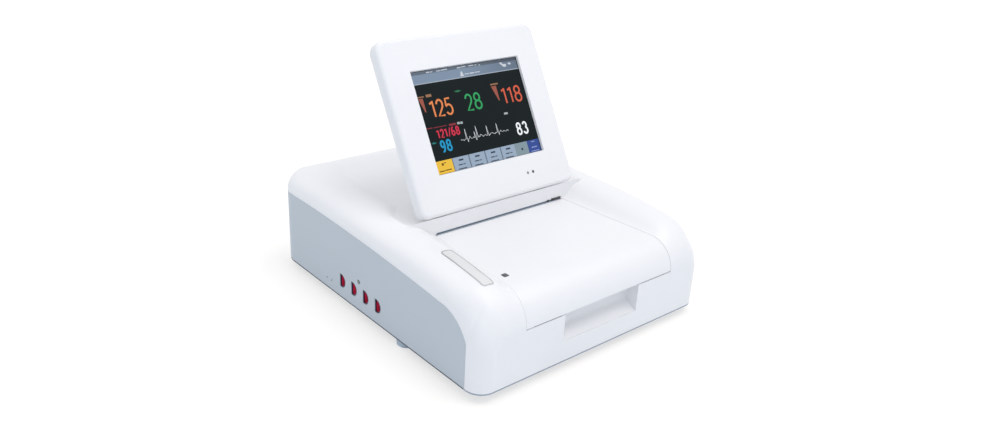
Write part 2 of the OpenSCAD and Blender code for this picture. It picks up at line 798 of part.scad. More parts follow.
// Paper tray and table rails
module paper_tray() {
    beam = rail_x + rail_t;
    posts = [
        [tray_front + 3, tray_front + 12],
        [tray_rear - 9, tray_rear],
        [chassis_rear + 0.5, psu_y0 - 0.5]
    ];
    color("#dfe3e8") union() {
        block([-beam, beam], [tray_front, tray_rear], [tray_floor, tray_floor + 2]);
        both_sides()
            block([tray_half - tray_wall, tray_half], [tray_front, tray_rear], [tray_floor, tray_top]);
        block([-tray_half, tray_half], [tray_front, tray_front + tray_wall], [tray_floor, tray_top - 4]);
        block([-tray_half, tray_half], [tray_rear - tray_wall, tray_rear], [tray_floor, tray_top - 6]);
        both_sides() {
            block([tray_half + 1, beam], [tray_front, rail_rear], [tray_floor, rail_foot]);
            for (y = posts) block([tray_half + 1, beam - 1], y, [pan_top, tray_floor + 1]);
            block([tray_half - 0.2, runner_x - slide_gap], [stop_y - 2, stop_y],
                [tray_floor, runner_foot + nib_h]);
        }
    }
}
module paper_pack() {
    folds = 4;
    z0 = tray_floor + 2;
    y0 = tray_front + tray_wall + 1;
    color("#f2efe6") for (k = [0:folds - 1])
        block([-paper_w / 2, paper_w / 2], [y0, y0 + paper_fold],
            [z0 + pack_h * k / folds, z0 + pack_h * (k + 1) / folds - (k < folds - 1 ? 0.12 : 0)]);
}
module table_rail() {
    x1 = rail_x + rail_t;
    y = [tray_front, rail_rear];
    block([rail_x, x1], y, [rail_foot, rail_top]);
    block([runner_x, x1], y, [rail_foot, rail_foot + rail_t]);
    block([runner_x + runner_t + slide_gap + 0.2, x1], y, [rail_top - rail_t, rail_top]);
}
module table_rail_left() {
    color(steel) mirror([1, 0, 0]) table_rail();
}
module table_rail_right() {
    color(steel) table_rail();
}

// Sliding paper table
module table_profile() {
    ring = lip_r - table_t;
    rear = slot_y - 1.1;
    translate([front_y + lip_r, table_under]) square([rear - front_y - lip_r, table_t]);
    translate([front_y + lip_r, lip_z]) intersection() {
        difference() {
            circle(lip_r);
            circle(ring);
        }
        translate([-lip_r, 0]) square(lip_r);
    }
}
module paper_table() {
    hole = button_w + 0.4;
    color(white) difference() {
        intersection() {
            along_x([-half_w, half_w]) table_profile();
            translate([0, 0, lip_z - 5]) linear_extrude(lip_r + 10) table_wedge(-table_gap);
        }
        block([button_x - hole / 2, button_x + hole / 2], [button_y - hole / 2, button_y + hole / 2],
            [table_under - 1, table_z + 1]);
    }
}
module table_runner() {
    y = [button_y + 14, slot_y - 6.5];
    block([runner_x, runner_x + runner_t], y, [runner_foot, table_under]);
    block([runner_x - 6, runner_x + runner_t], y, [table_under - 1.5, table_under]);
    block([runner_x, runner_x + runner_w], [tray_front + 2, nib_y + 4], [runner_foot, runner_top]);
    block([tray_half + slide_gap, runner_x + 1], [nib_y, nib_y + 4], [runner_foot, runner_foot + nib_h]);
}
module table_runners() {
    color("#aeb4ba") both_sides() table_runner();
}
switch_top = table_under - 1.4 - button_travel;
module table_button() {
    b = button_w / 2;
    color("#55585d") translate([button_x, button_y, 0]) union() {
        block([-b, b], [-b, b], [table_under - 1.4, table_z + button_proud]);
        block([-b - 0.2, b + 0.2], [-b - 1, b + 1], [table_under - 1.4, table_under - 0.2]);
    }
}
module key_switch() {
    z = switch_top - 4.4;
    color(dark) translate([button_x, button_y, 0]) {
        rod_z(1.6, 0, 0, [switch_top - 1.2, switch_top - 0.1]);
        block([-2.6, 2.6], [-2.6, 2.6], [z, switch_top - 1]);
    }
    color(board_green) translate([button_x, button_y, 0]) {
        block([-6.2, 1.6], [-10, 10], [z - board_t, z]);
        for (s = [-1, 1]) rod_z(1.5, -3.5, 7.5 * s, [z - 0.5, table_under]);
    }
}

// Recorder
module plate_profile(z0) {
    polygon([
        [chassis_front, chassis_z], [chassis_rear, chassis_z], [chassis_rear, chassis_top - 18],
        [chassis_rear - 16, chassis_top], [chassis_front + 6, chassis_top], [chassis_front, chassis_top - 8]
    ]);
}
module recorder_chassis() {
    x1 = side_plate_x + side_plate_t;
    plate_x1 = gear_plate_x + side_plate_t;
    color("#a4aab0") difference() {
        union() {
            both_sides() along_x([side_plate_x, x1]) plate_profile();
            block([-x1, x1], [chassis_front, chassis_rear], [chassis_z, chassis_z + side_plate_t]);
            along_x([gear_plate_x, plate_x1]) polygon([
                [chassis_front, chassis_z - 4], [pinion_y + 22, chassis_z - 4],
                [pinion_y + 22, pinion_z + 12], [pinion_y, chassis_top], [chassis_front, chassis_top]
            ]);
            rod_x(2.5, [x1 - 0.5, plate_x1 - 0.5], chassis_front + 4, chassis_z + 6);
            rod_x(2.5, [x1 - 0.5, plate_x1 - 0.5], pinion_y + 17, chassis_z + 5);
            rod_x(2.5, [x1 - 0.5, plate_x1 - 0.5], pinion_y + 4, chassis_top - 5);
            rod_x(axle_r, [x1 - 0.5, gear_x + gear_w + 1], idler_y, idler_z);
        }
        both_sides() rod_x(bush_r, [side_plate_x - 1, x1 + 1], platen_y, platen_z);
        rod_x(motor_boss_r, [gear_plate_x - 1, plate_x1 + 1], pinion_y, pinion_z);
    }
}
module platen_bushes() {
    color("#b59a4c") both_sides() difference() {
        union() {
            rod_x(bush_r, [side_plate_x - 1, side_plate_x + side_plate_t], platen_y, platen_z);
            rod_x(bush_r + 1.5, [side_plate_x - 1.6, side_plate_x], platen_y, platen_z);
        }
        rod_x(journal_r + shaft_play, [side_plate_x - 3, side_plate_x + side_plate_t + 1],
            platen_y, platen_z);
    }
}
module platen_roller() {
    color(dark) difference() {
        rod_x(platen_r, [-platen_half, platen_half], platen_y, platen_z);
        rod_x(journal_r + 1, [-platen_half - 1, platen_half + 1], platen_y, platen_z);
    }
}
module platen_shaft() {
    color(steel) union() {
        rod_x(journal_r + 1, [-platen_half, platen_half], platen_y, platen_z);
        rod_x(journal_r, [-side_plate_x - side_plate_t - 2, gear_x + gear_w + 1], platen_y, platen_z);
    }
}
// Involute gear outline. half_tooth is a tooth's half angle at radius r
function roll(a) = tan(a) * 180 / PI - a;
function half_tooth(n, r, base) = let (p = gear_module * n / 2)
    90 / n - gear_backlash * 90 / (PI * p) + roll(acos(base / p)) - roll(acos(min(1, base / r)));
module gear_shape(n, turn) {
    p = gear_module * n / 2;
    base = p * cos(20);
    root = p - 1.25 * gear_module;
    tip = p + gear_module;
    low = max(root, base);
    rs = [for (k = [0:3]) low + (tip - low) * k / 3];
    foot = half_tooth(n, low, base);
    function at(r, a) = [r * cos(a), r * sin(a)];
    polygon([for (i = [0:n - 1]) let (c = turn + 360 * i / n) each concat(
        [at(root, c - foot)],
        [for (r = rs) at(r, c - half_tooth(n, r, base))],
        [for (k = [3:-1:0]) at(rs[k], c + half_tooth(n, rs[k], base))],
        [at(root, c + foot)]
    )]);
}
function wrap(a, m) = a - m * floor(a / m);
// Turn of a gear of n2 teeth that meshes in direction phi with a gear of n1 teeth turned by turn
function mesh_turn(phi, turn, n1, n2) = phi + 180 + wrap(phi - turn, 360 / n1) * n1 / n2 - 180 / n2;
idler_turn = mesh_turn(idler_angle, idler_angle, platen_teeth, idler_teeth);
pinion_turn = mesh_turn(pinion_angle, idler_turn, idler_teeth, pinion_teeth);
module platen_gear() {
    color("#e8e6dc") difference() {
        union() {
            translate([0, platen_y, platen_z]) along_x([gear_x, gear_x + gear_w])
                gear_shape(platen_teeth, idler_angle);
            rod_x(journal_r + 2, [gear_x - 1, gear_x + gear_w], platen_y, platen_z);
        }
        rod_x(journal_r, [gear_x - 2, gear_x + gear_w + 2], platen_y, platen_z);
    }
}
module idler_gear() {
    color("#e8e6dc") difference() {
        translate([0, idler_y, idler_z]) along_x([gear_x, gear_x + gear_w])
            gear_shape(idler_teeth, idler_turn);
        rod_x(axle_r + shaft_play, [gear_x - 1, gear_x + gear_w + 1], idler_y, idler_z);
    }
}
module motor_pinion() {
    color("#c9a441") union() {
        translate([0, pinion_y, pinion_z]) along_x([gear_x, gear_x + gear_w])
            gear_shape(pinion_teeth, pinion_turn);
        rod_x(motor_shaft_r, [gear_x, gear_plate_x + 8], pinion_y, pinion_z);
    }
}
module stepper_motor() {
    x0 = gear_plate_x + side_plate_t;
    color("#8f959b") difference() {
        union() {
            rod_x(motor_r, [x0, x0 + motor_len], pinion_y, pinion_z);
            rod_x(motor_boss_r, [gear_plate_x, x0 + 1], pinion_y, pinion_z);
        }
        rod_x(motor_shaft_r + shaft_play, [gear_plate_x - 1, gear_plate_x + 8.5], pinion_y, pinion_z);
    }
}
head_y = platen_y + platen_r + 0.3;
module printhead() {
    color("#3a3f46") union() {
        block([-platen_half + 1, platen_half - 1], [head_y + 1, head_y + 5], [platen_z - 9, platen_z + 9]);
        rod_x(1, [-platen_half + 2, platen_half - 2], head_y + 1, platen_z);
    }
}
module heat_sink() {
    y = head_y + 5;
    color("#aeb3b8") union() {
        block([-platen_half + 3, platen_half - 3], [y, y + 3], [platen_z - 15, platen_z + 11]);
        block([-side_plate_x, side_plate_x], [y, y + 3], [platen_z - 4, platen_z + 6]);
        for (k = [0:17])
            block([-70 + 8 * k, -68.8 + 8 * k], [y, y + 17], [platen_z - 15, platen_z + 11]);
    }
}
module tear_bar() {
    x1 = slot_half - 0.2;
    color("#8e9bab") block([-x1, x1], [slot_y + 0.3, slot_y + wall], [table_z + 0.9, table_z + 2]);
}
module slot_tab() {
    x1 = slot_half - 0.4;
    y = [slot_y - 0.8, slot_y - 0.06];
    color("#17181b") union() {
        block([x1 - 13, x1], y, [table_z + 0.6, table_z + 3]);
        block([x1 - 19, x1 - 16], y, [table_z + 0.6, table_z + 2.6]);
    }
}

// Hinge, housing side
module hinge_beam() {
    color("#a4aab0") difference() {
        block([-side_plate_x - side_plate_t, side_plate_x + side_plate_t],
            [hinge_y - 10, hinge_y + 14], [chassis_top, chassis_top + beam_t]);
        for (x = [-30, 0, 30]) rod_z(6, x, hinge_y + 2, [chassis_top - 1, chassis_top + beam_t + 1]);
    }
}
module hinge_bracket() {
    x = [hinge_x - bracket_w / 2, hinge_x + bracket_w / 2];
    foot = [chassis_top + beam_t, trough_under - 0.1];
    difference() {
        union() {
            rod_x(barrel_r, x, hinge_y, hinge_z);
            block(x, [hinge_y - upright_t / 2, hinge_y + upright_t / 2], [foot[0], hinge_z]);
            block([x[0] - 5, x[1] + 5], [hinge_y - 8, hinge_y + 12], foot);
        }
        rod_x(hinge_pin_r, [x[0] - 1, x[1] + 1], hinge_y, hinge_z);
    }
}
module hinge_brackets() {
    color(steel) both_sides() hinge_bracket();
}
module hinge_pins() {
    reach = bracket_w / 2 + knuckle_gap + knuckle_w + 0.5;
    color("#d2d4d6") both_sides() rod_x(hinge_pin_r, [hinge_x - reach, hinge_x + reach], hinge_y, hinge_z);
}
module friction_washers() {
    color("#7c8288") both_sides() for (s = [-1, 1]) {
        x = hinge_x + s * (bracket_w / 2 + knuckle_gap / 2);
        difference() {
            rod_x(barrel_r - 0.5, [x - washer_t / 2, x + washer_t / 2], hinge_y, hinge_z);
            rod_x(hinge_pin_r, [x - 2, x + 2], hinge_y, hinge_z);
        }
    }
}

// Display
// Outline of the display at depth t behind its face, a distance in inside its edge, as a ring
function disp_corner(cx, cu, r, from, t) = [for (k = [0:6])
    [cx + r * cos(from + 15 * k), t, cu + r * sin(from + 15 * k)]];
function disp_ring(t, in) =
    let (
        w = disp_w / 2 - in,
        rt = max(disp_top_r - in, 1),
        rf = max(disp_foot_r - in, 1),
        top = disp_h - in - rt,
        foot = in + rf
    )
    concat(
        disp_corner(w - rf, foot, rf, -90, t),
        disp_corner(w - rt, top, rt, 0, t),
        disp_corner(-w + rt, top, rt, 90, t),
        disp_corner(-w + rf, foot, rf, 180, t)
    );
// Solid through layers, each a pair of depth behind the face and inset
module disp_form(layers) {
    skin([for (l = layers) disp_ring(l[0], l[1])]);
}
// Places of the four screws that hold the two halves of the display together
module at_display_screws() {
    for (x = [-1, 1]) for (u = [display_screw_in, disp_h - display_screw_in])
        translate([x * (disp_w / 2 - display_screw_in), 0, u]) children();
}
module display_bezel() {
    w = [window_w / 2, window_h / 2];
    color(white) on_display() difference() {
        union() {
            difference() {
                disp_form([[0, 3.6], [0.5, 2], [1.4, 0.8], [3.6, 0], [disp_rim_t, 0]]);
                disp_form([[disp_wall, disp_wall], [disp_rim_t + 1, disp_wall]]);
            }
            at_display_screws() rod_y(display_boss_r, 0, [disp_wall - 1, disp_rim_t], 0);
        }
        at_display_screws() rod_y(display_screw_r, 0, [disp_wall + 2, disp_rim_t + 1], 0);
        block([-w[0], w[0]], [-1, disp_wall + 1], [window_u - w[1], window_u + w[1]]);
        rod_y(dot_r, lamp_x, [-1, disp_wall + 1], dot_u);
        rod_y(dot_r + 0.2, standby_x, [-1, disp_wall + 1], dot_u);
    }
}
module display_rear_cover() {
    notch = bracket_w / 2 + knuckle_gap + knuckle_w + 0.8;
    d = disp_t - disp_rim_t;
    t0 = disp_rim_t;
    module shape() {
        disp_form([[t0, 0], [t0 + 1, 0.8], [t0 + 0.25 * d, 5], [t0 + 0.7 * d, 14], [disp_t, 28]]);
    }
    color("#eceef2") on_display() difference() {
        union() {
            difference() {
                union() {
                    shape();
                    both_sides() rod_y(bumper_r + 1, bumper_x, [bumper_seat - 7, bumper_seat], bumper_u);
                }
                disp_form([
                    [t0 - 1, disp_wall], [t0 + 0.2 * d, 7], [t0 + 0.6 * d, 16], [disp_t - disp_wall, 29]
                ]);
            }
            intersection() {
                shape();
                at_display_screws() rod_y(display_boss_r + 1, 0, [t0 - 1, disp_t], 0);
            }
        }
        at_display_screws() {
            rod_y(display_screw_r + 0.3, 0, [t0 - 1, disp_t], 0);
            rod_y(display_screw_head_r + 0.4, 0, [display_screw_seat, disp_t], 0);
        }
        both_sides() block([hinge_x - notch, hinge_x + notch], [t0 - 1, disp_t + 1],
            [hinge_u - 14, hinge_u + 11]);
        for (k = [0:8])
            block([-40, 40], [t0, disp_t + 1], [disp_h * 0.62 + 5 * k, disp_h * 0.62 + 2 + 5 * k]);
    }
}
module touch_glass() {
    w = window_w / 2 + 5;
    h = window_h / 2 + 5;
    color("#3a4248") on_display() block([-w, w], [disp_wall, glass_back], [window_u - h, window_u + h]);
}
module lcd_panel() {
    w = window_w / 2 + 7;
    h = window_h / 2 + 6;
    color("#10181a") on_display()
        block([-w, w], [glass_back, glass_back + lcd_t], [window_u - h, window_u + h]);
}
module display_frame() {
    w = window_w / 2 + 8;
    z = [window_u - window_h / 2 - 8, window_u + window_h / 2 + 8];
    color(steel) on_display() difference() {
        block([-w, w], [frame_back - frame_plate_t, frame_back], z);
        for (x = [-36, 0, 36])
            block([x - 12, x + 12], [frame_back - 3, frame_back + 1], [z[1] - 30, z[1] - 12]);
    }
}
module display_board() {
    z = [window_u - 30, window_u + 20];
    color(board_green) on_display() union() {
        block([-50, 50], [frame_back + 1.5, frame_back + 1.5 + board_t], z);
        for (x = [-46, 46]) for (u = [z[0] + 4, z[1] - 4])
            rod_y(2, x, [frame_back, frame_back + 2], u);
        block([-30, 4], [frame_back + 1.5, frame_back + 4.6], [z[0] + 8, z[0] + 30]);
    }
}
module hinge_knuckles() {
    x0 = hinge_x - bracket_w / 2 - knuckle_gap - knuckle_w;
    x1 = hinge_x + bracket_w / 2 + knuckle_gap + knuckle_w;
    top = window_u - window_h / 2 + 12;
    back = hinge_t + 2.4;
    color("#9da3a9") on_display() both_sides() difference() {
        union() {
            for (x = [x0, x1 - knuckle_w]) {
                rod_x(barrel_r, [x, x + knuckle_w], hinge_t, hinge_u);
                block([x, x + knuckle_w], [frame_back, back], [hinge_u, top]);
            }
            block([x0, x1], [frame_back, frame_back + 2.2], [hinge_u + barrel_r + 5, top]);
        }
        rod_x(hinge_pin_r + shaft_play, [x0 - 1, x1 + 1], hinge_t, hinge_u);
    }
}
module status_lamp() {
    color("#a9c7a2") on_display() union() {
        rod_y(dot_r, lamp_x, [0.3, disp_wall], dot_u);
        rod_y(dot_r + 0.8, lamp_x, [disp_wall, disp_wall + 1.5], dot_u);
    }
}
module standby_button() {
    color("#6b7076") on_display() union() {
        rod_y(dot_r, standby_x, [0, disp_wall + 1.4], dot_u);
        rod_y(dot_r + 0.9, standby_x, [disp_wall + 0.2, disp_wall + 1.4], dot_u);
    }
}
module standby_switch() {
    t = disp_wall + 1.4 + standby_travel;
    color(board_green) on_display() union() {
        rod_y(1, standby_x, [t + 0.1, t + 1], dot_u);
        block([standby_x - 2.6, standby_x + 2.6], [t + 0.9, t + 3], [dot_u - 2.6, dot_u + 2.6]);
        block([lamp_x - 7, standby_x + 7], [t + 3, t + 3 + board_t], [disp_wall, dot_u + 5]);
    }
}
module display_screws() {
    seat = display_screw_seat;
    color(steel) on_display() at_display_screws() difference() {
        union() {
            rod_y(display_screw_r, 0, [disp_wall + 3, seat + 1], 0);
            rod_y(display_screw_head_r, 0, [seat, seat + display_screw_head_h], 0);
        }
        translate([0, seat + display_screw_head_h + 1, 0]) rotate([90, 0, 0])
            cylinder(r = 1.2, h = 2, $fn = 6);
    }
}
module display_bumpers() {
    // The highest point of the dish under a bumper when the display is folded flat
    rest_z = dish_line(hinge_y + bumper_u + bumper_r - hinge_u);
    color("#6d7278") on_display() both_sides()
        rod_y(bumper_r, bumper_x, [bumper_seat, hinge_t + hinge_z - rest_z - 1], bumper_u);
}

upper_housing();
side_panel_left();
side_panel_right();
base_pan();
rear_panel();
rubber_feet();
mount_inserts();
housing_screws();
label_plate();
side_screws();
side_lamp();
for (i = [1:socket_count])
    sensor_socket(i);
socket_pins();
socket_board();
main_board();
power_supply();
loudspeaker();
mains_inlet();
inlet_blades();
earth_stud();
data_ports();
paper_tray();
paper_pack();
table_rail_left();
table_rail_right();
recorder_chassis();
platen_bushes();
printhead();
heat_sink();
stepper_motor();
tear_bar();
slot_tab();
hinge_beam();
hinge_brackets();
hinge_pins();
friction_washers();
paper_table();
table_runners();
key_switch();
table_button();
platen_roller();
platen_shaft();
platen_gear();
idler_gear();
motor_pinion();
display_bezel();
display_rear_cover();
touch_glass();
lcd_panel();
display_frame();
display_board();
hinge_knuckles();
status_lamp();
standby_button();
standby_switch();
display_bumpers();
display_screws();
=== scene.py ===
"""The looks of a table-top fetal monitor, built round its packed construction.

Every form is worked out in millimetres in the construction's own frame and made in metres.
The front faces -Y and +Z is up.
"""
import json
from math import cos, exp, pi, radians, sin, sqrt

import bmesh
import bpy
from mathutils import Matrix, Vector


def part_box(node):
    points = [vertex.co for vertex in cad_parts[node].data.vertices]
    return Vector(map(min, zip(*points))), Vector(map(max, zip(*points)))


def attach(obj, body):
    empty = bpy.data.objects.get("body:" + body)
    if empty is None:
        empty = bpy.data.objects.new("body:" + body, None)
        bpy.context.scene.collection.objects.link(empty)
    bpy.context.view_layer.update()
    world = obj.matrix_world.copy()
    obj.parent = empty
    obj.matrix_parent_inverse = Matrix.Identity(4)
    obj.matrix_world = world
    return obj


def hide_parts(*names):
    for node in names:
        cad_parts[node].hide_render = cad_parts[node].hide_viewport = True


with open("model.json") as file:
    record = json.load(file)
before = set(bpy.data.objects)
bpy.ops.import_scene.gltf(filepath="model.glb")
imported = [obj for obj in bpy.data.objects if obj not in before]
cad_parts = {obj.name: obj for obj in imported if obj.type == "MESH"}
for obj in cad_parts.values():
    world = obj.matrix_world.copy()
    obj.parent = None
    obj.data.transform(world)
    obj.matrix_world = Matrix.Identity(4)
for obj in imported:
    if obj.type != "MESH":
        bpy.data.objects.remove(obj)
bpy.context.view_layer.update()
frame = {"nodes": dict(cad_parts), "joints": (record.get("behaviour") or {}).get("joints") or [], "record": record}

MM = 0.001
WELD = 1e-7


# Sizes of the housing, read from the frame or repeated from the construction

def corners(node):
    """A node's lowest and highest corners in millimetres."""
    low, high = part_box(node)
    return low / MM, high / MM


housing_low, housing_high = corners("upper_housing")
half_w = housing_high.x
front_y = housing_low.y
rear_y = housing_high.y
base_z = housing_low.z
table_z = corners("paper_table")[1].z
slot_y = corners("tear_bar")[0].y - 0.3
table_len = slot_y - front_y
wall = 3.0
front_corner_r = 16.5
rear_corner_r = 29.0
crest_inset = 25.0
rail_rise = 15.4
nose_len = 37.0
rear_round = 14.0
rim_rise = 17.8
dish_rise = 11.5
panel_front_h = 66.8
panel_corner_r = 39.0
panel_climb, panel_bend = 0.09, 0.000196
panel_gap = 0.25
table_rear_w = 164.6
table_front_w = 187.0
lip_r = 28.5
table_t = 3.0
table_gap, foot_gap = 0.5, 0.6
recess_w = 95.0
recess_h = 27.0
recess_d = 13.0
bay_w = 150.0
bay_h = 44.0
button_x, button_y = -80.7, front_y + 44.4
button_w = 5.2
lip_z = table_z - lip_r
recess_top = lip_z - 0.7
slot_half = table_rear_w / 2 - 1.6
sweep_y = slot_y - 17.5
rear_lift, lift_run = 2.6, 150.0
front_droop = 4.6 / 75 ** 2
slope_power = 1.6
corner_narrowing = 0.35
step_z = table_z + rail_rise + 1.8
trough_z = table_z + dish_rise - 0.7
dish_z = table_z + dish_rise
rim_z = table_z + rim_rise
rim_run, rim_climb = 38.0, 24.0
dish_half, dish_narrowing = 85.0, 26
disp_w, disp_h = 194.0, 170.5
trough_half = disp_w / 2 + 5
trough_end = slot_y + 21.5
step_run, bowl_start = 8, 11
front_edge_z = base_z + 36
panel_curve_y = front_y + front_corner_r + panel_corner_r - 2
bay_z = base_z + 12
panel_reach = half_w - rear_corner_r + panel_gap
socket_r, socket_flat, socket_flange = 7.1, 2.5, 2.0
SOCKETS = [f"sensor_socket_{i}" for i in range(1, 5)]

# Sizes of the display
disp_rim_t, disp_t = 11.8, 23.5
disp_top_r, disp_foot_r = 11.7, 7.8
window_w, window_h, window_u = 132.5, 99.4, 87.3
disp_wall = 2.5
glass_t = 1.6
dot_r = 1.4
dot_u, lamp_x, standby_x = 18.6, 38.0, 45.0
hinge_u, hinge_t, hinge_x = 19.5, 17.0, 62.0
lean = radians(29.5)
tilt_joint = next(j for j in frame["joints"] if j["name"] == "display_tilt")
hinge_y, hinge_z = (v / MM for v in tilt_joint["pos_m"][1:])
crease_y = hinge_y - hinge_u * sin(lean) - hinge_t * cos(lean)
crease_z = hinge_z - hinge_u * cos(lean) + hinge_t * sin(lean)


# The shape of the housing, as the construction works it out

def unit(t):
    return min(1.0, max(0.0, t))


def ease(t):
    return unit(t) ** 2 * (3 - 2 * unit(t))


def arc_drop(r, d):
    return r - sqrt(max(0.0, r * r - min(r, max(0.0, d)) ** 2))


def nose_fill(y, r):
    return sqrt(max(0.0, 1 - unit((front_y + r - y) / r) ** 2))


def outer_y(y, inset):
    """The place outside that an inner section takes its heights from."""
    return y + inset * max(-1.0, min(1.0, y / 30))


def half_width(y, inset):
    return (half_w - inset - arc_drop(front_corner_r - inset, front_y + front_corner_r - y)
            - arc_drop(rear_corner_r - inset, y - rear_y + rear_corner_r))


def crest_line(y):
    lift = rear_lift * ease((y - sweep_y) / lift_run)
    return table_z + rail_rise + lift - front_droop * max(0.0, sweep_y - y) ** 2


def crest(y):
    rise = (crest_line(y) - lip_z) * nose_fill(y, nose_len)
    return lip_z + rise - arc_drop(rear_round, y - rear_y + rear_round)


def side_top(y):
    t = max(0.0, y - panel_curve_y)
    line = base_z + panel_front_h + panel_climb * t - panel_bend * t * t
    return max(front_edge_z, line - arc_drop(panel_corner_r, panel_curve_y - y))


def lookup(y, points):
    """Height at y on a line through the points."""
    if y <= points[0][0]:
        return points[0][1]
    for (y0, z0), (y1, z1) in zip(points, points[1:]):
        if y <= y1:
            return z0 + (z1 - z0) * (y - y0) / (y1 - y0)
    return points[-1][1]


def dish_line(y):
    low = lookup(y, [(slot_y, step_z), (slot_y + step_run, trough_z), (trough_end, trough_z),
                     (trough_end + bowl_start, dish_z), (rear_y - rim_run, dish_z + 1.5)])
    rise = (rim_z - low) * ease((y - rear_y + rim_run) / rim_climb)
    return low + rise - arc_drop(rear_round, y - rear_y + rear_round)


def table_line(y):
    return lip_z + (table_z - lip_z) * nose_fill(y, lip_r)


def floor_line(y, inset):
    line = table_line if y < slot_y + inset else dish_line
    return line(outer_y(y, inset))


def table_half(y):
    return table_rear_w / 2 + (table_front_w - table_rear_w) / 2 * (slot_y - y) / table_len


def floor_half(y, inset):
    if y < slot_y + inset:
        return table_half(y) - foot_gap
    return trough_half - (trough_half - dish_half) * ease((y - trough_end - bowl_start) / dish_narrowing)


def crest_x(y):
    return half_w - crest_inset - corner_narrowing * (half_w - half_width(y, 0))


def slope_fill(t):
    return (1 + cos(pi * t ** slope_power)) / 2


def slope_z(x, y):
    """Height of the rail's inner slope."""
    crest_at, foot_at = crest_x(y), floor_half(y, 0)
    t = unit((crest_at - x) / (crest_at - foot_at))
    return floor_line(y, 0) + (crest(y) - floor_line(y, 0)) * slope_fill(t)


def section(y, inset, bottom, steps):
    """One closed section of the body across its width."""
    h, far_y = half_width(y, inset), outer_y(y, inset)
    side, top = side_top(far_y), crest(far_y) - inset
    low = floor_line(y, inset) - inset
    crest_at, foot_at = crest_x(y) - inset * 0.3, floor_half(y, inset) - inset * 0.3
    right = [(h, y, bottom), (h, y, side)]
    for k in range(1, steps + 1):
        a = pi / 2 * k / steps
        right.append((crest_at + (h - crest_at) * cos(a), y, side + (top - side) * sin(a)))
    for k in range(1, steps + 1):
        x = crest_at + (foot_at - crest_at) * k / steps
        right.append((x, y, low + (top - low) * slope_fill(k / steps)))
    right += [(foot_at * (1 - k / 6), y, low) for k in range(1, 7)]
    return right + [(-x, yy, z) for x, yy, z in reversed(right[:-1])]


def stations(inset, fine):
    """Depths of the sections, close together where the body curves."""
    nose = [front_y + inset + (nose_len - inset) * (1 - cos(pi / 2 * k / (2 * fine)))
            for k in range(2 * fine + 1)]
    run = table_len - nose_len + inset - 0.05
    deck = [front_y + nose_len + run * k / fine for k in range(1, fine + 1)]
    step = [slot_y + inset + d for d in (0, 1.5, 3)] + [slot_y + inset / 2 + step_run]
    step += [trough_end + d for d in (-6, 0, 4, 8, 12)]
    bowl = rear_y - rim_run - trough_end - 12
    dish = [trough_end + 12 + bowl * k / fine for k in range(1, fine + 1)]
    rim = [rear_y - rim_run + (rim_run - rear_round) * k / fine for k in range(1, fine + 1)]
    tail = [rear_y - rear_round + (rear_round - inset) * sin(pi / 2 * k / fine) for k in range(1, fine + 1)]
    return nose + deck + step + dish + rim + tail


# Mesh making

def added(name, data):
    """A new object of the scene."""
    obj = bpy.data.objects.new(name, data)
    bpy.context.scene.collection.objects.link(obj)
    return obj


def new_piece(name, points, faces):
    """A mesh object from points in millimetres, with its faces pointing outwards."""
    mesh = bpy.data.meshes.new(name)
    mesh.from_pydata([Vector(p) * MM for p in points], [], faces)
    made = bmesh.new()
    made.from_mesh(mesh)
    bmesh.ops.remove_doubles(made, verts=made.verts, dist=WELD)
    bmesh.ops.recalc_face_normals(made, faces=made.faces)
    made.to_mesh(mesh)
    made.free()
    return added(name, mesh)


def skin(name, rings):
    """A closed form through rings of equal length."""
    size = len(rings[0])
    faces = [list(range(size)), [(len(rings) - 1) * size + k for k in range(size)]]
    for j in range(len(rings) - 1):
        for k in range(size):
            a, b = j * size + k, j * size + (k + 1) % size
            faces.append([a, b, b + size, a + size])
    return new_piece(name, [p for ring in rings for p in ring], faces)


def across(name, x0, x1, outline):
    """A form with one (y, z) outline all the way from x0 to x1."""
    return skin(name, [[(x, y, z) for y, z in outline] for x in (x0, x1)])


def prism(name, outline, z0, z1):
    """A form with one (x, y) outline all the way from z0 to z1."""
    return skin(name, [[(x, y, z) for x, y in outline] for z in (z0, z1)])


def box_outline(x0, x1, y0, y1):
    return [(x0, y0), (x1, y0), (x1, y1), (x0, y1)]


def around(middle, half):
    """The ends of a span, from its middle and half its length."""
    return middle - half, middle + half


def block(name, x, y, z):
    return across(name, *x, box_outline(*y, *z))


def arc(cx, cy, rx, ry, start, turn, steps=18):
    """Points along an arc of an ellipse, its angles in degrees from the first axis to the second."""
    turned = [radians(start + turn * k / steps) for k in range(steps + 1)]
    return [(cx + rx * cos(a), cy + ry * sin(a)) for a in turned]


def circle(r, steps, centre=(0, 0)):
    return arc(*centre, r, r, 0, 360, steps)[:-1]


def rounded(half, low, high, low_r, high_r, steps):
    """A rectangle with round corners, its sides at -half, half, low and high."""
    turns = ((half - low_r, low + low_r, low_r, -90), (half - high_r, high - high_r, high_r, 0),
             (high_r - half, high - high_r, high_r, 90), (low_r - half, low + low_r, low_r, 180))
    return [point for x, y, r, start in turns for point in arc(x, y, r, r, start, 90, steps)]


def bake(obj):
    """Turns what the modifiers make into the object's own mesh."""
    graph = bpy.context.evaluated_depsgraph_get()
    made = bpy.data.meshes.new_from_object(obj.evaluated_get(graph), depsgraph=graph)
    obj.modifiers.clear()
    obj.data = made
    return obj


def combine(obj, others, operation):
    """Cuts other closed forms out of one, or fuses them with it."""
    for other in others:
        step = obj.modifiers.new("combine", "BOOLEAN")
        step.operation = operation
        step.solver = "MANIFOLD"
        step.object = other
        bake(obj)
        bpy.data.objects.remove(other)
    return obj


def cut(obj, *others):
    return combine(obj, others, "DIFFERENCE")


def fuse(obj, *others):
    return combine(obj, others, "UNION")


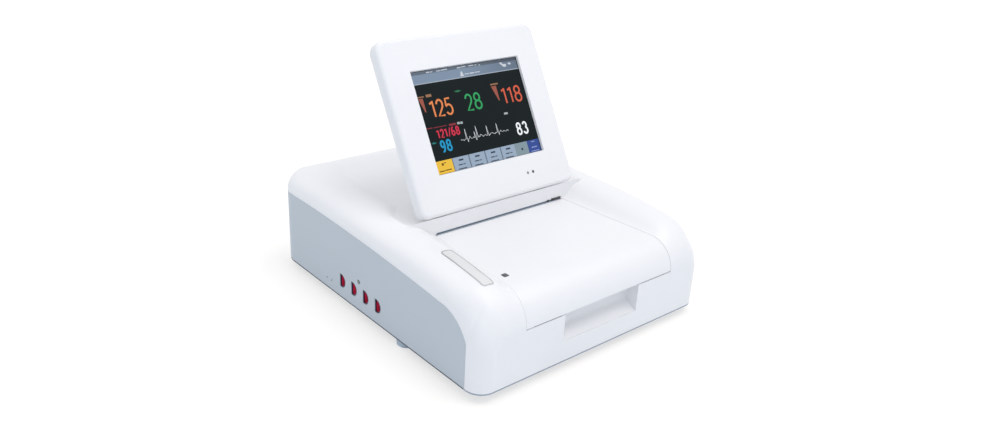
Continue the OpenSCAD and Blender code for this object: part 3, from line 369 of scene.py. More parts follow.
def add_bevel(obj, edge, angle):
    """Rounds the sharp edges of an object by a radius in millimetres, as a live modifier."""
    step = obj.modifiers.new("soft_edges", "BEVEL")
    step.width = edge * MM
    step.segments = 2
    step.limit_method = "ANGLE"
    step.angle_limit = radians(angle)
    return step


def soften(obj, edge, segments=2):
    """Rounds the sharp edges of a form by a radius in millimetres."""
    add_bevel(obj, edge, 35).segments = segments
    return bake(obj)


def smooth(obj):
    """Smooth shading that keeps sharp edges sharp and flat faces flat."""
    obj.data.shade_smooth()
    obj.data.set_sharp_from_angle(angle=radians(32))
    step = obj.modifiers.new("weigh", "WEIGHTED_NORMAL")
    step.keep_sharp = True
    return bake(obj)


# Finishes

def worked(operation, swapped=False):
    """A method of Tone that adds one Math node."""
    def method(self, other):
        first, second = (other, self) if swapped else (self, other)
        return self.tree.node("Math", {"Value": first, "Value_001": second}, operation=operation)
    return method


class Tone:
    """A node's output. Sums and products of tones add the Math nodes that work them out."""

    def __init__(self, tree, socket):
        self.tree, self.socket = tree, socket

    __add__, __radd__ = worked("ADD"), worked("ADD", True)
    __sub__, __rsub__ = worked("SUBTRACT"), worked("SUBTRACT", True)
    __mul__, __rmul__ = worked("MULTIPLY"), worked("MULTIPLY", True)
    __lt__, __gt__ = worked("LESS_THAN"), worked("GREATER_THAN")


def named(sockets, name):
    """The first of a node's sockets with that name or identifier."""
    return next(s for s in sockets if name in (s.identifier, s.name))


class Tree:
    """A node tree, with one method that makes any node. Its family's nodes need no prefix."""
    family = "ShaderNode"

    def __init__(self, tree):
        self.tree = tree

    def feed(self, socket, value):
        """Links or sets an input. A colour of three numbers gets its fourth."""
        if isinstance(value, Tone):
            self.tree.links.new(value.socket, socket)
        elif hasattr(value, "__len__") and len(value) == 3 and len(socket.default_value) == 4:
            socket.default_value = (*value, 1.0)
        else:
            socket.default_value = value

    def node(self, kind, values=None, output=0, **settings):
        """Makes a node, sets it, then feeds its inputs, and gives one of its outputs."""
        made = self.tree.nodes.new(kind if "Node" in kind else self.family + kind)
        for name, value in settings.items():
            setattr(made, name, value)
        for name, value in (values or {}).items():
            self.feed(named(made.inputs, name), value)
        return Tone(self, made.outputs[output] if isinstance(output, int) else named(made.outputs, output))


class Finish(Tree):
    """A procedural material: one Principled shader and what varies over the surface."""

    def __init__(self, name, **fixed):
        self.material = bpy.data.materials.new(name)
        self.material.use_nodes = True
        super().__init__(self.material.node_tree)
        self.shader = self.tree.nodes["Principled BSDF"]
        for socket, value in fixed.items():
            self.set(socket.replace("_", " "), value)

    def set(self, socket, value):
        self.feed(self.shader.inputs[socket], value)

    def place(self, scale=(1, 1, 1)):
        """The surface's own place in metres, stretched by a scale."""
        where = self.node("TexCoord", output="Object")
        return self.node("Mapping", {"Vector": where, "Scale": scale})

    def noise(self, where, scale, detail=2.0):
        return self.node("TexNoise", {"Vector": where, "Scale": scale, "Detail": detail})

    def mix(self, amount, first, second):
        return self.node("Mix", {"Factor_Float": amount, "A_Color": first, "B_Color": second},
                         "Result_Color", data_type="RGBA")

    def blotched(self, amount, colour, dark, pale):
        """The finish's colour, drifting between a darker and a paler shade."""
        self.set("Base Color", self.mix(amount, shade(colour, dark), shade(colour, pale)))

    def bump(self, height, depth):
        """Relief of a depth in millimetres."""
        self.set("Normal", self.node("Bump", {"Height": height, "Distance": depth * MM}))


def shade(colour, factor):
    return tuple(min(1.0, c * factor) for c in colour)


def moulded(name, colour, roughness, grain=0.02):
    """Moulded plastic: a fine eroded grain, a slow drift of tone and faint handling marks."""
    finish = Finish(name, IOR=1.47)
    place = finish.place()
    drift = finish.noise(place, 14)
    fine = finish.noise(place, 1900, 3)
    finish.blotched(drift, colour, 0.975, 1.02)
    finish.set("Roughness", roughness + (drift - 0.5) * 0.12 + (fine - 0.5) * 0.08)
    finish.bump(fine, grain)
    return finish.material


def drawn_metal(name, colour, roughness, stretch=(8, 900, 900)):
    """Metal with fine drawing lines along one axis."""
    finish = Finish(name, Metallic=1.0)
    lines = finish.noise(finish.place(stretch), 1.0, 4)
    blotch = finish.noise(finish.place(), 60)
    finish.blotched(blotch, colour, 0.88, 1.06)
    finish.set("Roughness", roughness + (lines - 0.5) * 0.22 + (blotch - 0.5) * 0.1)
    finish.bump(lines, 0.01)
    return finish.material


def zinc_plate(name, colour):
    """Galvanised sheet with its pale and dark crystals."""
    finish = Finish(name, Metallic=1.0)
    crystals = finish.node("TexVoronoi", {"Vector": finish.place(), "Scale": 160}, output="Color")
    cells = finish.node("SeparateColor", {"Color": crystals})
    finish.blotched(cells, colour, 0.85, 1.05)
    finish.set("Roughness", 0.32 + cells * 0.18)
    finish.bump(finish.noise(finish.place(), 700), 0.01)
    return finish.material


def clouded(finish, colour, shades, cloud, grain, roughness, spread, depth):
    """Colour and roughness that drift together over a finer grain."""
    place = finish.place()
    drift = finish.noise(place, *cloud)
    finish.blotched(drift, colour, *shades)
    finish.set("Roughness", roughness + drift * spread)
    finish.bump(finish.noise(place, *grain), depth)
    return finish.material


def rubber(name, colour):
    """Matt rubber with a little dust in its pores."""
    return clouded(Finish(name, IOR=1.5), colour, (0.8, 1.25), (90, 4), (1200, 3), 0.62, 0.2, 0.03)


def glossy(name, colour, roughness=0.12, coat=0.6):
    """Polished plastic with slow flow marks."""
    finish = Finish(name, Coat_Weight=coat, Coat_Roughness=0.08, IOR=1.5)
    return clouded(finish, colour, (0.88, 1.1), (70, 3), (800, 2), roughness, 0.12, 0.006)


def circuit_board(name, colour):
    """Solder mask over thin tracks, with small tinned pads."""
    finish = Finish(name, IOR=1.5)
    place = finish.place()
    tracks = finish.node("TexBrick", {
        "Vector": place, "Scale": 260.0, "Mortar Size": 0.06, "Brick Width": 1.6, "Row Height": 0.42},
        "Fac", offset=0.5)
    pads = finish.node("TexVoronoi", {"Vector": place, "Scale": 330}, output="Distance")
    pad = pads < 0.2
    masked = finish.mix(tracks, colour, shade(colour, 1.9))
    finish.set("Base Color", finish.mix(pad, masked, (0.62, 0.6, 0.52)))
    finish.set("Roughness", 0.3 + tracks * 0.1)
    finish.set("Metallic", pad * 0.8)
    finish.bump(tracks + pad, 0.03)
    return finish.material


def chart_paper(name, colour):
    """Matt paper with soft fibres that lie flat."""
    finish = Finish(name, Roughness=0.85)
    fibre = finish.noise(finish.place((1, 1, 14)), 420, 4)
    finish.blotched(fibre, colour, 0.93, 1.03)
    finish.bump(fibre, 0.02)
    return finish.material


def lit(name, colour, glow, fade=1.0):
    """A lit part of the screen's picture under its matt film, which may fade to the right."""
    film, fade_from, fade_to = 0.86, -0.005, 0.062
    finish = Finish(name, Roughness=0.34, Specular_IOR_Level=0.1, Emission_Strength=glow * film)
    dots = finish.noise(finish.place(), 2400, 2)
    tone = finish.mix(dots, shade(colour, 0.94), shade(colour, 1.06))
    if fade < 1:
        along = finish.node("SeparateXYZ", {"Vector": finish.place()}, output="X")
        right = finish.node("MapRange", {"Value": along, "From Min": fade_from, "From Max": fade_to},
                            output="Result")
        tone = finish.mix(right, tone, shade(colour, fade))
    finish.blotched(dots, colour, 0.25, 0.3)
    finish.set("Emission Color", tone)
    finish.bump(dots, 0.004)
    return finish.material


def screen_film(name, dark, green):
    """The unlit screen under a matt film, a little green in slow clouds."""
    finish = Finish(name, Specular_IOR_Level=0.06, Emission_Strength=0.4)
    place = finish.place()
    cloud = finish.noise(place, 16, 2)
    film = finish.noise(place, 2600, 2)
    tone = finish.mix(cloud, dark, green)
    finish.set("Base Color", tone)
    finish.set("Emission Color", tone)
    finish.set("Roughness", 0.24 + film * 0.14)
    finish.bump(film, 0.004)
    return finish.material


# Each finish by its slot: its colour, and how rough, grained or coated it is
LOOKS = (
    (moulded, {
        "white_shell": ((0.85, 0.85, 0.86), 0.36),
        "side_blue": ((0.51, 0.56, 0.605), 0.46, 0.03),
        "grey_base": ((0.50, 0.53, 0.57), 0.5, 0.03),
        "rear_plate": ((0.42, 0.47, 0.53), 0.5, 0.03),
        "tray_plastic": ((0.55, 0.57, 0.60), 0.45, 0.03),
        "gear_plastic": ((0.70, 0.68, 0.60), 0.35),
        "key_grey": ((0.09, 0.093, 0.10), 0.4),
        "black_plastic": ((0.015, 0.015, 0.017), 0.42, 0.03),
        "speaker": ((0.03, 0.03, 0.032), 0.75, 0.05),
        "motor": ((0.16, 0.17, 0.18), 0.35),
        "label_silver": ((0.74, 0.74, 0.735), 0.32),
        "tear_edge": ((0.33, 0.39, 0.46), 0.34)}),
    (rubber, {
        # The two finishes below colour strips of painted shadow: the darker one under the panels and beside the
        # table's lip, the paler one round the nose, where more light falls.
        "seal_grey": ((0.085, 0.10, 0.125),),
        "seal_blue": ((0.30, 0.345, 0.41),),
        "foot_rubber": ((0.44, 0.51, 0.58),),
        "platen_rubber": ((0.02, 0.02, 0.021),),
        "bumper_rubber": ((0.25, 0.27, 0.29),)}),
    (drawn_metal, {
        "insert_brass": ((0.62, 0.47, 0.22), 0.3),
        "contact_gold": ((0.85, 0.62, 0.25), 0.2),
        "screw_steel": ((0.55, 0.56, 0.57), 0.3),
        "label_rim": ((0.58, 0.59, 0.60), 0.34, (900, 8, 900)),
        "psu_case": ((0.62, 0.63, 0.64), 0.35),
        "blade_metal": ((0.66, 0.66, 0.67), 0.22),
        "port_shell": ((0.58, 0.59, 0.60), 0.3),
        "shaft_steel": ((0.62, 0.63, 0.64), 0.18),
        "heatsink": ((0.64, 0.65, 0.66), 0.35),
        "washer_steel": ((0.40, 0.41, 0.43), 0.35)}),
    (zinc_plate, {
        "rail_steel": ((0.55, 0.57, 0.59),),
        "chassis_steel": ((0.52, 0.54, 0.56),)}),
    (glossy, {
        "lamp_green": ((0.035, 0.075, 0.055),),
        "socket_red": ((0.80, 0.035, 0.10), 0.3, 0.3),
        # The navy of the socket collars is partly painted shade inside the wells.
        "socket_navy": ((0.015, 0.018, 0.05), 0.3, 0.2),
        "slot_black": ((0.006, 0.006, 0.008),),
        "dot_green": ((0.22, 0.24, 0.23), 0.3, 0.2),
        "lcd": ((0.012, 0.02, 0.02),)}),
    (circuit_board, {"board": ((0.015, 0.11, 0.05),)}),
    (chart_paper, {"chart_paper": ((0.82, 0.79, 0.70),)}),
    (screen_film, {"screen_glass": ((0.006, 0.0075, 0.009), (0.007, 0.012, 0.0125))}),
)
FINISHES = {slot: make(slot, *look) for make, looks in LOOKS for slot, look in looks.items()}


# Shared ways of finishing a piece

def finished(obj, body, slot, *nodes, material=None):
    """Gives a finished form its finish and its body, and says which nodes it stands for."""
    obj.data.materials.clear()
    obj.data.materials.append(material or FINISHES[slot])
    smooth(obj)
    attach(obj, body)
    if nodes:
        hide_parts(*nodes)
    return obj


class Steps(Tree):
    """A Geometry Nodes tree with named inputs."""
    family = "GeometryNode"

    def __init__(self, name):
        super().__init__(bpy.data.node_groups.new(name, "GeometryNodeTree"))
        self.tree.is_modifier = True
        for way in ("INPUT", "OUTPUT"):
            self.tree.interface.new_socket("Geometry", in_out=way, socket_type="NodeSocketGeometry")
        self.source = self.tree.nodes.new("NodeGroupInput")
        self.sink = self.tree.nodes.new("NodeGroupOutput")
        self.values = {}

    def given(self, name, kind, value):
        """A named input of the tree."""
        socket = self.tree.interface.new_socket(name, in_out="INPUT", socket_type="NodeSocket" + kind)
        self.values[socket.identifier] = value
        return Tone(self, self.source.outputs[name])

    def form(self, name, obj):
        """The mesh of an object that is a named input."""
        given = self.given(name, "Object", obj)
        return self.node("ObjectInfo", {"Object": given}, output="Geometry")

    def close(self, geometry, material):
        """Ends the tree in Realize Instances and Set Material."""
        real = self.node("RealizeInstances", {"Geometry": geometry})
        self.feed(self.sink.inputs[0], self.node("SetMaterial", {
            "Geometry": real, "Material": self.given("Material", "Material", material)}))

    def put_on(self, obj):
        """Adds the tree to an object, each input set by its identifier."""
        step = obj.modifiers.new("steps", "NODES")
        step.node_group = self.tree
        for identifier, value in self.values.items():
            step[identifier] = value

    def run(self, name):
        """A plain mesh object made by the tree."""
        obj = added(name, bpy.data.meshes.new(name))
        self.put_on(obj)
        return bake(obj)


def repeated(name, form, count, first, step, slot, stray=None):
    """One form repeated in a row, each a step further than the last, all in millimetres.

    With a stray, each is also moved at random by up to that much either way.
    """
    steps = Steps("row_of_" + name)
    places = steps.node("MeshLine", {
        "Count": steps.given("Count", "Int", count),
        "Start Location": steps.given("First place", "Vector", Vector(first) * MM),
        "Offset": steps.given("Step", "Vector", Vector(step) * MM)})
    if stray:
        reach = steps.given("Stray", "Vector", Vector(stray) * MM)
        back = steps.node("ShaderNodeVectorMath", {"Vector": reach, "Scale": -1.0}, operation="SCALE")
        moves = steps.node("FunctionNodeRandomValue", {
            "Min": back, "Max": reach, "Seed": steps.given("Seed", "Int", 7)}, data_type="FLOAT_VECTOR")
        places = steps.node("SetPosition", {"Geometry": places, "Offset": moves})
    row = steps.node("InstanceOnPoints", {"Points": places, "Instance": steps.form("Form", form)})
    steps.close(row, FINISHES[slot])
    made = steps.run(name)
    bpy.data.objects.remove(form)
    return made


# Housing

def plan_outline(inset):
    """Plan of the body, an inset inside its outline."""
    return rounded(half_w - inset, front_y + inset, rear_y - inset,
                   front_corner_r - inset, rear_corner_r - inset, 32)


def wall_ring(name, outer, inner, z0, z1):
    """A ring that follows the plan of the body between two insets."""
    ring = prism(name, plan_outline(outer), z0, z1)
    return cut(ring, prism("inside", plan_outline(inner), z0 - 1, z1 + 1))


def wedge_outline(grow):
    """Plan of the space that the paper table slides in."""
    y0 = front_y - 1
    front, rear = table_half(y0) + grow, table_half(slot_y) + grow
    return [(-front, y0), (front, y0), (rear, slot_y), (-rear, slot_y)]


def side_outline(shrink, bottom):
    """Outline of a side panel in (y, z), from its front end to behind the rear face."""
    y0, y1 = front_y + front_corner_r + 1.5 + shrink, rear_y + 1
    steps = 110
    top = []
    for k in range(steps + 1):
        y = y0 + (y1 - y0) * (k / steps) ** 1.8
        top.append((y, side_top(y) - 1 - shrink))
    return [(y0, bottom)] + top + [(y1, bottom)]


def recess_outline(grow):
    """Profile of the finger recess in (y, z)."""
    z0, mouth = recess_top - recess_h, front_y - (-1 if grow else 1)
    back = front_y + recess_d + grow
    return [(mouth, z0 - grow), (front_y + 1, z0 - grow), (back - 2 - grow * 0.5, z0 + 7 - grow),
            (back - 0.5, z0 + 9 - grow / 2), (back, z0 + 11), (back, recess_top), (mouth, recess_top)]


def make_housing():
    """The white upper shell with its openings."""
    shell = skin("housing_shell", [section(y, 0, base_z, 30) for y in stations(0, 24)])
    hollow = skin("hollow", [section(y, wall, base_z - 15, 12) for y in stations(wall, 8)])
    cut(shell, hollow, prism("table_space", wedge_outline(0), recess_top, recess_top + 100))
    for side in (-1, 1):
        x = sorted((side * (half_w - rear_corner_r), side * (half_w + 1)))
        cut(shell, across("panel_space", *x, side_outline(0, base_z - 1)))
    play, cup_wall, beyond = 0.5, 2.5, 1
    cut(shell, block("bay_space", around(0, bay_w / 2 + play), (rear_y - 2 * wall, rear_y + beyond),
                     (bay_z - play, bay_z + bay_h + play)))
    fuse(shell, across("recess_cup", *around(0, recess_w / 2 + cup_wall), recess_outline(cup_wall)))
    cut(shell, across("recess_hollow", *around(0, recess_w / 2), recess_outline(0)),
        block("paper_slot", around(0, slot_half), (slot_y - beyond, slot_y + wall + beyond),
              (table_z - 12, table_z + 2)))
    slot_x, slot_deep = 6.3, 4
    for x in (-hinge_x, hinge_x):
        cut(shell, block("bracket_slot", around(x, slot_x), around(hinge_y, slot_deep),
                         (trough_z - wall - beyond, trough_z + 4)))
    return finished(shell, "housing", "white_shell", "upper_housing")


def socket_outline(grow=0.0):
    """A socket's keyed outline in (y, z), round with one flat, a little larger or smaller."""
    return [(min(y, socket_flat + grow), z) for y, z in circle(socket_r + grow, 48)]


def socket_places():
    """Centres of the sensor sockets in (y, z)."""
    spans = [corners(node) for node in SOCKETS]
    return [(low.y + socket_r + socket_flange, (low.z + high.z) / 2) for low, high in spans]


def make_side_panels():
    """Blue panels that run round the rear corners."""
    play, lamp_r, screw_r = 0.15, 2.35, 1.5
    way = (-half_w - 1, -half_w + wall + 1)
    for side, body_side in ((-1, "left"), (1, "right")):
        x = sorted((side * (half_w + 1), side * panel_reach))
        panel = across("side_cover_" + body_side, *x, side_outline(panel_gap, base_z))
        combine(panel, [wall_ring("wall", 0, wall, base_z, table_z + rail_rise)], "INTERSECT")
        if side < 0:
            for y, z in socket_places():
                cut(panel, across("socket_hole", *way, [(y + a, z + b) for a, b in socket_outline(play)]))
            low, high = corners("side_lamp")
            spots = [(lamp_r, (low.y + high.y) / 2, (low.z + high.z) / 2)]
            low, high = corners("side_screws")
            spots += [(screw_r, y, (low.z + high.z) / 2) for y in (low.y + screw_r, high.y - screw_r)]
            for r, y, z in spots:
                cut(panel, across("spot_hole", *way, circle(r, 32, (y, z))))
        soften(panel, 0.3)
        finished(panel, "housing", "side_blue", "side_panel_" + body_side)


def make_edge_shadows():
    """Painted shadow under the body's lower edge: dark strips below the panels, a paler one round the nose where
    more light falls.
    """
    inset, inner, deep, play = 0.15, 2.6, 1.5, 0.05
    split = front_y + front_corner_r + 3
    outside, sides = half_w + 1, (split, rear_y + 1)
    for name, x, y, finish in (("panel_seal_left", (-outside, -panel_reach), sides, "seal_grey"),
                               ("panel_seal_right", (panel_reach, outside), sides, "seal_grey"),
                               ("nose_seal", around(0, outside), (front_y - 1, split - play), "seal_blue")):
        edge_shadow = wall_ring(name, inset, inner, base_z - deep, base_z - play)
        combine(edge_shadow, [block("reach", x, y, (base_z - 2, base_z + 2))], "INTERSECT")
        finished(edge_shadow, "housing", "side_blue", material=FINISHES[finish])


# Display

def display_point(x, t, u):
    """A point of the display from its place across, behind and up its face."""
    return (x, crease_y + t * cos(lean) + u * sin(lean), crease_z - t * sin(lean) + u * cos(lean))


def display_ring(t, inset):
    """Outline of the display at a depth behind its face, an inset inside its edge."""
    outline = rounded(disp_w / 2 - inset, inset, disp_h - inset,
                      max(disp_foot_r - inset, 1), max(disp_top_r - inset, 1), 14)
    return [display_point(x, t, u) for x, u in outline]


def display_form(name, layers):
    return skin(name, [display_ring(t, inset) for t, inset in layers])


def display_box(name, x, t, u, flare=0.0):
    """A block in the display's own directions, wider at its front by a flare on each side."""
    wide = box_outline(x[0] - flare, x[1] + flare, u[0] - flare, u[1] + flare)
    return skin(name, [[display_point(a, depth, b) for a, b in outline]
                       for depth, outline in zip(t, (wide, box_outline(*x, *u)))])


def display_disc(name, r, x, u, t):
    return skin(name, [[display_point(x + a, depth, u + b) for a, b in circle(r, 32)] for depth in t])


def make_bezel():
    """The front frame: a rounded rim, the window and the holes of its two dots."""
    edge_r, steps, through = 3.9, 9, (-1, disp_wall + 1)
    flare, lamp_play, key_play = 0.9, 0.05, 0.2
    turns = [pi / 2 * k / steps for k in range(steps + 1)]
    bezel = display_form("display_front", [(edge_r * (1 - cos(a)), edge_r * (1 - sin(a))) for a in turns]
                         + [(disp_rim_t, 0)])
    cut(bezel, display_form("bezel_hollow", [(disp_wall, disp_wall), (disp_rim_t + 1, disp_wall)]),
        display_box("window", around(0, window_w / 2), through, around(window_u, window_h / 2), flare),
        display_disc("lamp_hole", dot_r + lamp_play, lamp_x, dot_u, through),
        display_disc("key_hole", dot_r + key_play, standby_x, dot_u, through))
    return finished(bezel, "display", "white_shell", "display_bezel")


def make_back_cover():
    """The rear cover: posts for the bumpers, screw bosses, hinge notches and vents."""
    depth, steps = disp_t - disp_rim_t, 24
    start = disp_rim_t - 1
    knots = ((0, 0), (1, 0.8), (0.25 * depth, 5), (0.7 * depth, 14), (depth, 28))
    depths = [depth * sin(pi / 2 * k / steps) for k in range(steps + 1)]
    layers = [(disp_rim_t + t, lookup(t, knots)) for t in depths]
    cover = display_form("display_back", layers)
    bumper_x, bumper_u, post_r, post_l, post_end = 70, 159.5, 6, 7, disp_t - 2.7
    for x in (-bumper_x, bumper_x):
        fuse(cover, display_disc("bumper_post", post_r, x, bumper_u, (post_end - post_l, post_end)))
    cut(cover, display_form("cover_hollow", [
        (start, disp_wall), (disp_rim_t + 0.2 * depth, 7),
        (disp_rim_t + 0.6 * depth, 16), (disp_t - disp_wall, 29)]))
    screw_in, boss_r, screw_r, head_r, head_t = 9, 4.3, 1.6, 2.9, 2.4
    for x in (screw_in - disp_w / 2, disp_w / 2 - screw_in):
        for u in (screw_in, disp_h - screw_in):
            boss = display_disc("boss", boss_r, x, u, (start, disp_t))
            fuse(cover, combine(boss, [display_form("within", layers)], "INTERSECT"))
            cut(cover, display_disc("screw_way", screw_r, x, u, (start, disp_t)),
                display_disc("head_way", head_r, x, u, (disp_rim_t + head_t, disp_t)))
    notch, notch_low, notch_high = 13, 14, 11
    for x in (-hinge_x, hinge_x):
        cut(cover, display_box("hinge_notch", around(x, notch), (start, disp_t + 1),
                               (hinge_u - notch_low, hinge_u + notch_high)))
    vent_half, vent_w, vent_pitch, vent_u = 40, 2, 5, disp_h * 0.62
    for k in range(9):
        u = vent_u + vent_pitch * k
        cut(cover, display_box("vent", around(0, vent_half), (disp_rim_t, disp_t + 1), (u, u + vent_w)))
    return finished(cover, "display", "white_shell", "display_rear_cover")


# The screen's picture, in millimetres from the upper left corner of the window

picture_t = disp_wall
film_lift, mark_lift = 0.05, 0.08


def picture_point(x, down, lift):
    """A point of the picture, raised a little off the film."""
    return display_point(x - window_w / 2, picture_t - lift, window_u + window_h / 2 - down)


def patch(outline, lift=film_lift):
    """A thin lit patch with an outline of (x, down) points."""
    return skin("patch", [[picture_point(x, d, h) for x, d in outline] for h in (0.0, lift)])


def bars(*boxes, lift=film_lift):
    """Plain lit bars, each from x0 to x1 and d0 to d1."""
    return [patch(box_outline(*box), lift) for box in boxes]


def marks(*boxes):
    return bars(*boxes, lift=mark_lift)


def join(name, parts):
    """Several separate forms as one piece."""
    whole = bmesh.new()
    for part in parts:
        whole.from_mesh(part.data)
        bpy.data.objects.remove(part)
    mesh = bpy.data.meshes.new(name)
    whole.to_mesh(mesh)
    whole.free()
    return added(name, mesh)


# Strokes of the digits in a unit box, x to the right and y down
DIGITS = {
    "1": [[(0.0, 0.17), (0.45, 0.1), (0.7, 0.0), (0.7, 1.0)]],
    "2": [arc(0.5, 0.27, 0.48, 0.27, 185, 180) + [(0.88, 0.48), (0.0, 1.0), (1.0, 1.0)]],
    "3": [arc(0.47, 0.25, 0.44, 0.25, 195, 245), arc(0.47, 0.73, 0.53, 0.27, 280, 245)],
    "5": [[(0.9, 0.0), (0.18, 0.0), (0.1, 0.46)] + arc(0.48, 0.69, 0.52, 0.31, 222, 290)],
    "6": [arc(0.5, 0.71, 0.48, 0.29, 0, 366, 30), arc(0.55, 0.6, 0.53, 0.6, 180, 110)],
    "8": [arc(0.5, 0.24, 0.43, 0.24, 90, 366, 30), arc(0.5, 0.73, 0.5, 0.27, 270, 366, 30)],
    "9": [arc(0.5, 0.29, 0.48, 0.29, 180, 366, 30), arc(0.45, 0.4, 0.53, 0.6, 0, 110)],
    "/": [[(1.0, 0.0), (0.0, 1.0)]],
}


def stroke(points, half, lift=film_lift):
    """A thin solid along a path of (x, down) points."""
    rings = []
    for k, (x, d) in enumerate(points):
        before, after = points[max(0, k - 1)], points[min(len(points) - 1, k + 1)]
        dx, dd = after[0] - before[0], after[1] - before[1]
        size = max(1e-6, sqrt(dx * dx + dd * dd))
        nx, nd = -dd / size * half, dx / size * half
        rings.append([picture_point(x + side * nx, d + side * nd, h)
                      for side, h in ((-1, 0.0), (1, 0.0), (1, lift), (-1, lift))])
    return skin("stroke", rings)


def number(digits, sides, d0, d1, half=0.95):
    """Digits of the picture, each from one side to the next and from d0 to d1."""
    strokes = []
    for k, digit in enumerate(digits):
        x0, x1 = sides[2 * k:2 * k + 2]
        wide, tall = x1 - x0 - 2 * half, d1 - d0 - 2 * half
        for path in DIGITS[digit]:
            strokes.append(stroke([(x0 + half + x * wide, d0 + half + y * tall) for x, y in path], half))
    return strokes


def shown(name, parts, colour, glow=1.0, fade=1.0):
    """Joins lit parts into a named piece of the picture."""
    return finished(join(name, parts), "display", "lcd", material=lit(name, colour, glow, fade))


def make_heart_trace():
    """The white trace: a steady beat with one early beat, as a thin ribbon along a path."""
    beats = ((7.4, 10.6), (17.8, 6), (20.8, 10.4), (34.0, 9.6), (46.8, 10))
    left, base, length, count = 36.5, 72.0, 60.5, 300
    points = []
    for k in range(count):
        x = length * k / (count - 1)
        rise = 0.5 * sin(x * 1.3) + 0.35 * sin(x * 2.9)
        for at, height in beats:
            for size, after, width in ((height, 0, 0.42), (-2.2, 1.0, 0.5), (1.5, 4.2, 1.1)):
                rise += size * exp(-((x - at - after) / width) ** 2)
        points.append(picture_point(left + x, base - rise, 0.03))
    path = bpy.data.meshes.new("trace_path")
    path.from_pydata([Vector(p) * MM for p in points], [(k, k + 1) for k in range(count - 1)], [])
    line = added("trace_path", path)
    steps = Steps("heart_trace_steps")
    curve = steps.node("MeshToCurve", {"Mesh": steps.form("Path", line)})
    profile = steps.node("CurvePrimitiveCircle", {
        "Resolution": 4, "Radius": steps.given("Half width", "Float", 0.2 * MM)})
    ribbon = steps.node("CurveToMesh", {"Curve": curve, "Profile Curve": profile, "Fill Caps": True})
    steps.close(ribbon, FINISHES["lcd"])
    trace = steps.run("screen_trace")
    bpy.data.objects.remove(line)
    finished(trace, "display", "lcd", material=lit("screen_trace", (0.72, 0.74, 0.78), 0.9))


